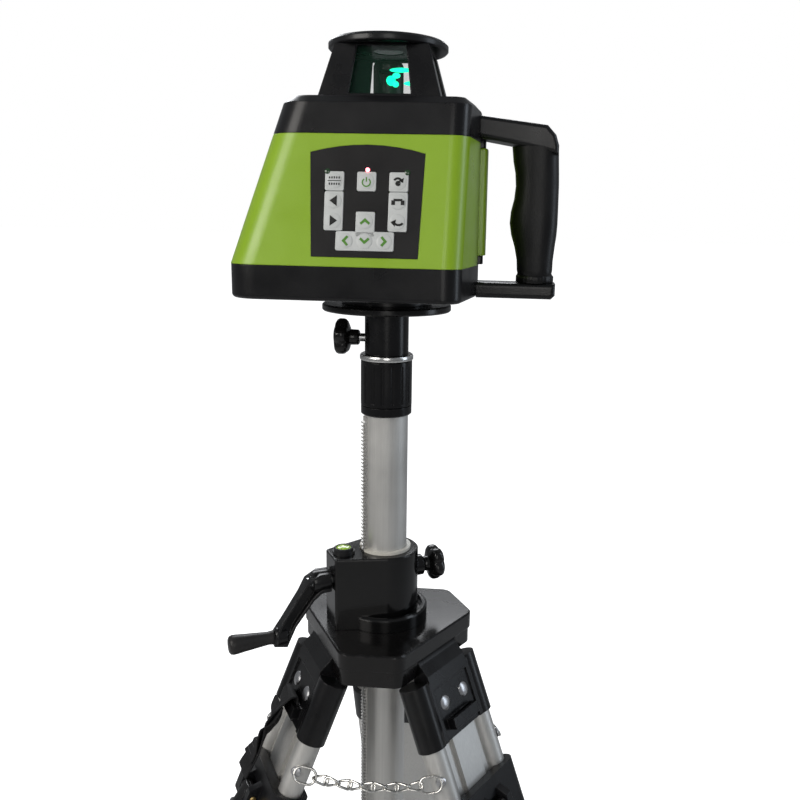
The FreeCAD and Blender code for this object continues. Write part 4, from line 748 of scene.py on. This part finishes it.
strap_leg = leg_place("a")
bar_low = -58.0
strap = new_piece("carry_strap_front", ribbon([
    (0, 11.4, bar_low - 5), (0, 11.3, bar_low + 4), (0, 12.6, bar_low + 12), (0, 15.4, bar_low + 15.6),
    (0, 19.4, bar_low + 12), (1.0, 21.4, bar_low), (3.0, 20.6, bar_low - 13), (5.0, 20.2, bar_low - 24),
    (3.0, 24.6, bar_low - 38), (1.0, 28.8, bar_low - 50), (0.0, 31.2, bar_low - 60),
], 12.2, 1.7, 0.10, half_turn(0.62, 0.16)), webbing, "upper_leg_a", strap_leg, 50)
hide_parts("carry_strap")
new_piece("carry_strap_fold", ribbon([
    (0.4, 23.0, bar_low + 4), (1.2, 23.4, bar_low - 2), (3.2, 22.8, bar_low - 13),
    (5.2, 22.4, bar_low - 24), (3.2, 26.6, bar_low - 37), (1.2, 30.8, bar_low - 48),
], 11.6, 1.5, 0.12, half_turn(0.60, 0.2)), webbing, "upper_leg_a", strap_leg, 50)
thread = finish("strap_thread", (0.05, 0.05, 0.052), 0.6, mottle=0.2, grain=0.5)
stitches = bmesh.new()
for row in (0, 1, 2):
    for i in range(9):
        stitch = turned([(0, -1.0), (0.28, -0.7), (0.34, 0), (0.28, 0.7), (0, 1.0)], 8)
        spot = moved(-9.0 + 2.4 * i, 30.1 - 1.9 * row, bar_low - 44 + row * 4.2) @ turn(90, "Y")
        bmesh.ops.transform(stitch, matrix=spot, verts=stitch.verts)
        join(stitches, stitch)
new_piece("carry_strap_stitches", stitches, thread, "upper_leg_a", strap_leg, 80)

# ---- Laser case ----
# Three injection mouldings screwed together: a charcoal tray, the lime middle and a charcoal cover
# with a wide chamfer. All have a fine spark-eroded grain.

lime = finish("case_lime", (0.262, 0.445, 0.010), 0.33, mottle=0.05, grain=0.28, grain_size=1500,
              edge=0.0012, coat=0.15)
dress(["laser_body"], lime)
charcoal = finish("case_charcoal", (0.0038, 0.0038, 0.0045), 0.30, mottle=0.18, grain=0.32, grain_size=1300,
                  edge=0.0016, coat=0.1)
dress(["laser_base", "laser_cover", "turret_cage", "turret_cap"], charcoal)
motor_shell = finish("bearing_turned", (0.5, 0.5, 0.51), 0.3, metal=1.0, grain=0.2)
dress(["rotor_bearing"], motor_shell)
cell_wrap = finish("cell_sleeve", (0.06, 0.10, 0.20), 0.3, mottle=0.1, grain=0.1, coat=0.4)
dress(["battery_cells"], cell_wrap)

rib_corners = [(-2, 68), (13, 68), (13, 76.4), (9, 77.6), (2, 77.6), (-2, 76.4)]
rib_outline = rounded(rib_corners, [0.5, 0.5, 2, 2, 2, 2])
side_rib = slab(rib_outline, 1092, 1173, 1.2)
stand_up = Matrix(((0, 1, 0, 0), (1, 0, 0, 0), (0, 0, 1, 0), (0, 0, 0, 1)))
new_piece("battery_door_rib", side_rib, lime, "laser", stand_up)
for name, low, high in (("low", 1085.2, 1091.8), ("high", 1173.2, 1180.0)):
    stop = slab(rounded([(-2, 66), (13, 66), (13, 75.6), (-2, 75.6)], [0.5, 0.5, 2, 2]), low, high, 0.8)
    new_piece(f"battery_door_stop_{name}", stop, charcoal, "laser", stand_up)

# ---- Turret ----
# Four charcoal posts under a round cap guard the spinning head, with clear panes between them.
# A small round window in the cap lets the beam out straight up.

pane = bpy.data.materials.new("turret_pane")
pane.use_nodes = True
glass = pane.node_tree.nodes["Principled BSDF"]
glass.inputs["Base Color"].default_value = (0.03, 0.09, 0.06, 1)
glass.inputs["IOR"].default_value = 1.45
glass.inputs["Alpha"].default_value = 0.12
smudge = pane.node_tree.nodes.new("ShaderNodeTexNoise")
smudge.inputs["Scale"].default_value = 60
smudge_range = pane.node_tree.nodes.new("ShaderNodeMapRange")
smudge_range.inputs["To Min"].default_value = 0.01
smudge_range.inputs["To Max"].default_value = 0.08
pane.node_tree.links.new(smudge.outputs["Fac"], smudge_range.inputs["Value"])
pane.node_tree.links.new(smudge_range.outputs["Result"], glass.inputs["Roughness"])
dress(["turret_glass"], pane)
cover_top = 1203.0
cage_top = cover_top + 38.6
plumb_lens = finish("plumb_lens", (0.55, 0.60, 0.58), 0.12, mottle=0.08, coat=1.0)
new_piece("plumb_window", turned([
    (0, 0.9), (9.6, 0.9), (10.4, 0.5), (11.65, 0.5), (11.65, 4.8), (10.6, 5.2), (0, 5.4)], 64),
    plumb_lens, "laser", moved(0, 0, cage_top))
rotor_dark = finish("rotor_satin", (0.020, 0.016, 0.014), 0.34, mottle=0.2, grain=0.2,
                    grain_size=500, edge=0.0006)
dress(["rotor_head"], rotor_dark)

# One glowing green serves two things: the rotor's beam window, and the painted glints on the pane.
beam = bpy.data.materials.new("beam_window_and_painted_glint_green")
beam.use_nodes = True
beam_shade = beam.node_tree.nodes["Principled BSDF"]
beam_shade.inputs["Base Color"].default_value = (0.0, 0.5, 0.3, 1)
beam_shade.inputs["Emission Color"].default_value = (0.0, 1.0, 0.46, 1)
beam_noise = beam.node_tree.nodes.new("ShaderNodeTexNoise")
beam_noise.inputs["Scale"].default_value = 500
beam_range = beam.node_tree.nodes.new("ShaderNodeMapRange")
beam_range.inputs["From Min"].default_value = 0.35
beam_range.inputs["From Max"].default_value = 0.65
beam_range.inputs["To Min"].default_value = 0.5
beam_range.inputs["To Max"].default_value = 3.5
beam.node_tree.links.new(beam_noise.outputs["Fac"], beam_range.inputs["Value"])
beam.node_tree.links.new(beam_range.outputs["Result"], beam_shade.inputs["Emission Strength"])
aperture = turned([(0, 0), (2.6, 0), (3.4, 0.4), (3.6, 1.0), (0, 1.2)], 32)
new_piece("rotor_aperture", aperture, beam, "rotor",
          moved(3.5, -11.2, cover_top + 16.5) @ turn(18, "Z") @ turn(90, "X"))
# Painted glints: flat glowing patches just inside the front pane stand in for the beam's reflections on the
# glass.
for name, x, z, half_wide, half_tall in (
    ("upper", 13.5, 22.0, 9.0, 1.7), ("middle", 9.5, 18.2, 3.0, 2.0),
    ("lower", 9.0, 12.2, 2.4, 2.2), ("right", 20.0, 12.8, 5.0, 1.6),
):
    glint = turned([(0, 0), (0.7, 0.02), (1, 0.12), (0.7, 0.22), (0, 0.24)], 28)
    lens_shape = Matrix.Diagonal((half_wide, half_tall, 1, 1))
    new_piece(f"painted_beam_glint_{name}", glint, beam, "laser",
              moved(x, -24, cover_top + z) @ turn(90, "X") @ lens_shape)
for x in (-19, 15, 21):
    foot_outline = rounded([(x, 24), (x + 5, 24), (x + 5, 30), (x, 30)], 0.8)
    foot = slab(foot_outline, cover_top + 0.2, cover_top + 6.4, 0.5)
    new_piece(f"pane_block_{int(x + 20)}", foot, charcoal, "laser")

# ---- Keypad ----
# A dark printed film on the leaning front, with six pale silicone key plates. Every place to press
# is a low dome with a printed mark, and a red light sits over the power mark.

front_slope, case_front, tray_top, panel_middle = 0.194, 82.0, 1084.6, 42.6
face = (moved(-4.0, -case_front + front_slope * panel_middle, tray_top + panel_middle)
        @ turn(90 - math.degrees(math.atan(front_slope)), "X"))
film = finish("keypad_film", (0.0055, 0.005, 0.0055), 0.36, mottle=0.12, grain=0.1, grain_size=900,
              edge=0.0003)
dress(["keypad_panel"], film)
silicone = finish("key_silicone", (0.56, 0.58, 0.575), 0.5, mottle=0.04, grain=0.15, grain_size=900)
green_ink = finish("key_ink_green", (0.07, 0.24, 0.015), 0.5, mottle=0.1)
black_ink = finish("key_ink_black", (0.012, 0.012, 0.012), 0.5, mottle=0.1)
pitch, key, row_line, column = 13.9, 13.6, -4.3, 22.7
margin = (pitch - key) / 2
key_top, dome_top = 0.8, 1.45


def add_domes(plate, domes):
    """Joins a low dome to a key plate at each place to press."""
    for x, y in domes:
        cap = turned([(5.6, key_top - 0.1), (5.5, key_top + 0.12), (4.9, key_top + 0.42),
                      (3.6, dome_top - 0.12), (0, dome_top)], 40)
        bmesh.ops.transform(cap, matrix=moved(x, y, 0), verts=cap.verts)
        join(plate, cap)


def key_slab(outline):
    """A plate of silicone with rounded corners and rim, its skirt let into the film."""
    return slab(rounded(outline, 1.6), -2.2, key_top, 0.45)


def key_plate(name, node, outline, domes):
    plate = key_slab(outline)
    add_domes(plate, domes)
    piece = new_piece(name, plate, silicone, node, face)
    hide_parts(node)


def centre(row):
    return row_line + pitch * (row + 0.5)


def box_outline(x, low_row, high_row):
    low, high = row_line + pitch * low_row + margin, row_line + pitch * high_row - margin
    return [(x - key / 2, low), (x + key / 2, low), (x + key / 2, high), (x - key / 2, high)]


key_plate("mode_key_plate", "mode_key", box_outline(-column, 1, 2), [(-column, centre(1))])
key_plate("power_key_plate", "power_key", box_outline(0, 1, 2), [(0, centre(1))])
key_plate("scan_key_plate", "scan_key", box_outline(column, 1, 2), [(column, centre(1))])
for name, side in (("speed_rocker", -column), ("function_rocker", column)):
    key_plate(name + "_plate", name, box_outline(side, -1, 1), [(side, centre(0)), (side, centre(-1))])
half_key = key / 2
stem_low, stem_top = row_line - pitch - margin, row_line - margin
bar_bottom = row_line - 2 * pitch + margin
arrow = bmesh.new()
for left, right, low, high in ((-pitch - half_key, pitch + half_key, bar_bottom, stem_low),
                               (-half_key, half_key, stem_low - 4, stem_top)):
    join(arrow, key_slab([(left, low), (right, low), (right, high), (left, high)]))
add_domes(arrow, ((0, centre(-1)), (0, centre(-2)), (-pitch, centre(-2)), (pitch, centre(-2))))
arrow_plate = new_piece("arrow_pad_plate", arrow, silicone, "arrow_pad", face)
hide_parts("arrow_pad")


def print_mark(name, body, shapes, ink, lift=dome_top):
    """Thin printed figures, each a list of (x, y) in mm, laid on a key."""
    mark = bmesh.new()
    for outline in shapes:
        figure = bmesh.new()
        low = [figure.verts.new((x * MM, y * MM, (lift - 0.05) * MM)) for x, y in outline]
        high = [figure.verts.new((x * MM, y * MM, (lift + 0.10) * MM)) for x, y in outline]
        count = len(outline)
        for i in range(count):
            j = (i + 1) % count
            figure.faces.new((low[i], low[j], high[j], high[i]))
        figure.faces.new(list(reversed(low)))
        figure.faces.new(high)
        join(mark, figure)
    new_piece(name, mark, ink, body, face, 20)


def laid(figure, x, y, angle):
    """A figure turned by that many degrees and moved to (x, y)."""
    c, s = math.cos(math.radians(angle)), math.sin(math.radians(angle))
    return [(x + px * c - py * s, y + px * s + py * c) for px, py in figure]


def chevron(x, y, angle, arm=3.7, thick=1.7):
    """An open arrowhead as two bars that meet at its tip."""
    half = [(2.2, 0), (-1.2, arm), (-1.2 - thick * 0.8, arm - thick * 0.6), (2.2 - thick * 1.5, 0)]
    other = [(px, -py) for px, py in reversed(half)]
    return [laid(figure, x, y, angle) for figure in (half, other)]


def triangle(x, y, angle, size=3.3):
    figure = ((size * 0.9, 0), (-size * 0.7, size * 1.15), (-size * 0.7, -size * 1.15))
    return [laid(figure, x, y, angle)]


def bar(x, y, wide, tall):
    left, right, low, high = x - wide / 2, x + wide / 2, y - tall / 2, y + tall / 2
    return [[(left, low), (right, low), (right, high), (left, high)]]


def arc(x, y, radius, thick, first, final, steps=10):
    marks = [math.radians(first + (final - first) * k / steps) for k in range(steps + 1)]
    bore = radius - thick
    outer = [(x + radius * math.cos(a), y + radius * math.sin(a)) for a in marks]
    inner = [(x + bore * math.cos(a), y + bore * math.sin(a)) for a in reversed(marks)]
    return [outer + inner]


print_mark("arrow_marks", "arrow_pad", chevron(0, centre(-1), 90) + chevron(0, centre(-2), 270)
           + chevron(-pitch, centre(-2), 180) + chevron(pitch, centre(-2), 0), green_ink)
print_mark("speed_marks", "speed_rocker",
           triangle(-column, centre(0), 180) + triangle(-column, centre(-1), 0), black_ink)
power_y = centre(1) - 0.8
print_mark("power_mark", "power_key",
           arc(0, power_y, 3.3, 0.9, 125, 415) + bar(0, power_y + 2.0, 0.9, 3.2), green_ink)
mode_y = centre(1)
mode_marks = bar(-column, mode_y, 9.4, 0.5)
for k in range(5):
    for rise in (2.2, -2.2):
        mode_marks += bar(-column - 3.4 + 1.7 * k, mode_y + rise, 0.9, 1.5)
print_mark("mode_marks", "mode_key", mode_marks, black_ink, key_top + 0.62)
scan_y = centre(1)
print_mark("scan_mark", "scan_key", arc(column - 0.6, scan_y - 0.5, 3.6, 1.5, 20, 150)
           + triangle(column + 2.4, scan_y + 0.6, 300, 1.8)
           + arc(column - 0.4, scan_y - 1.2, 1.9, 1.9, 0, 350), black_ink)
print_mark("function_marks", "function_rocker", bar(column, centre(0) + 1.2, 6.2, 1.7)
           + bar(column - 3.3, centre(0) - 0.6, 2.6, 3.2) + bar(column + 3.3, centre(0) - 0.6, 2.6, 3.2)
           + arc(column + 1.0, centre(-1) + 1.6, 4.6, 1.5, 200, 320)
           + triangle(column - 2.8, centre(-1) - 0.6, 170, 2.2), black_ink)


def glow(name, colour, strength):
    made = bpy.data.materials.new(name)
    made.use_nodes = True
    shade = made.node_tree.nodes["Principled BSDF"]
    shade.inputs["Base Color"].default_value = (*colour, 1)
    shade.inputs["Emission Color"].default_value = (*colour, 1)
    fleck = made.node_tree.nodes.new("ShaderNodeTexNoise")
    fleck.inputs["Scale"].default_value = 900
    swing = made.node_tree.nodes.new("ShaderNodeMapRange")
    swing.inputs["To Min"].default_value = strength * 0.75
    swing.inputs["To Max"].default_value = strength * 1.25
    made.node_tree.links.new(fleck.outputs["Fac"], swing.inputs["Value"])
    made.node_tree.links.new(swing.outputs["Result"], shade.inputs["Emission Strength"])
    return made


lamp_dome = [(0, 0), (1.5, 0), (1.45, 0.6), (1.0, 1.2), (0, 1.5)]
power_red = glow("light_red", (1.0, 0.16, 0.20), 7.0)
new_piece("power_light", turned(lamp_dome, 24), power_red, "laser",
          face @ moved(0.5, row_line + 2 * pitch + 1.2, 0.2))
dim_green = finish("light_off_green", (0.012, 0.045, 0.014), 0.2, mottle=0.1, coat=0.8)
for x, name in ((-column - 5.2, "left"), (column + 5.8, "right")):
    new_piece(f"{name}_light", turned(lamp_dome, 24), dim_green, "laser",
              face @ moved(x, row_line + 2 * pitch - 0.4, 0.2) @ Matrix.Diagonal((1.5, 1.5, 0.7, 1)))

# ---- Carrying handle ----
# A charcoal bar reaches out from the cover and another from the tray; a soft waisted grip with a
# fluted collar at its foot stands between them.

dress(["carry_handle"], charcoal)
grip_skin = finish("grip_rubber", (0.004, 0.004, 0.0045), 0.4, mottle=0.2, grain=0.35, grain_size=700)
bar_top, bar_under = 1072.0, 1168.5
grip_sides = (  # share of the height, reach towards the case, reach away from it
    (0.075, 13.6, 13.2), (0.10, 14.2, 13.6), (0.18, 14.6, 13.7), (0.28, 16.6, 14.6),
    (0.38, 19.6, 15.6), (0.47, 21.0, 16.0), (0.56, 20.4, 16.0), (0.66, 18.2, 15.9),
    (0.76, 17.3, 15.8), (0.86, 18.0, 15.4), (0.95, 19.8, 14.9), (1.06, 21.0, 14.4),
)
grip_profile = [(6.1, bar_top), (14.3, bar_top), (14.8, bar_top + 0.6), (14.8, bar_top + 5.2),
                (14.2, bar_top + 5.8)]
reaches = {}
for share, near, away in grip_sides:
    height = bar_top + (bar_under - bar_top) * share
    grip_profile.append(((near + away) / 2, height))
    reaches[round(height, 4)] = (near, away)
grip_profile += [(6.1, bar_under + 5), (6.1, bar_top)]


def grip_form(angle, radius, height):
    if radius < 7:
        return radius
    if round(height, 4) not in reaches:
        return radius - 0.35 * (0.5 + 0.5 * math.cos(24 * angle))
    near, away = reaches[round(height, 4)]
    across = 14.4 + 0.12 * (near - 14)
    c, t = math.cos(angle), math.sin(angle)
    reach = away if c > 0 else near
    return 1 / (abs(c / reach) ** 2.4 + abs(t / across) ** 2.4) ** (1 / 2.4)


grip_out = 117
handle_grip = new_piece("handle_soft_grip", turned(grip_profile, 96, grip_form), grip_skin, "laser",
                        moved(grip_out, 0, 0), 45)
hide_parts("handle_grip")
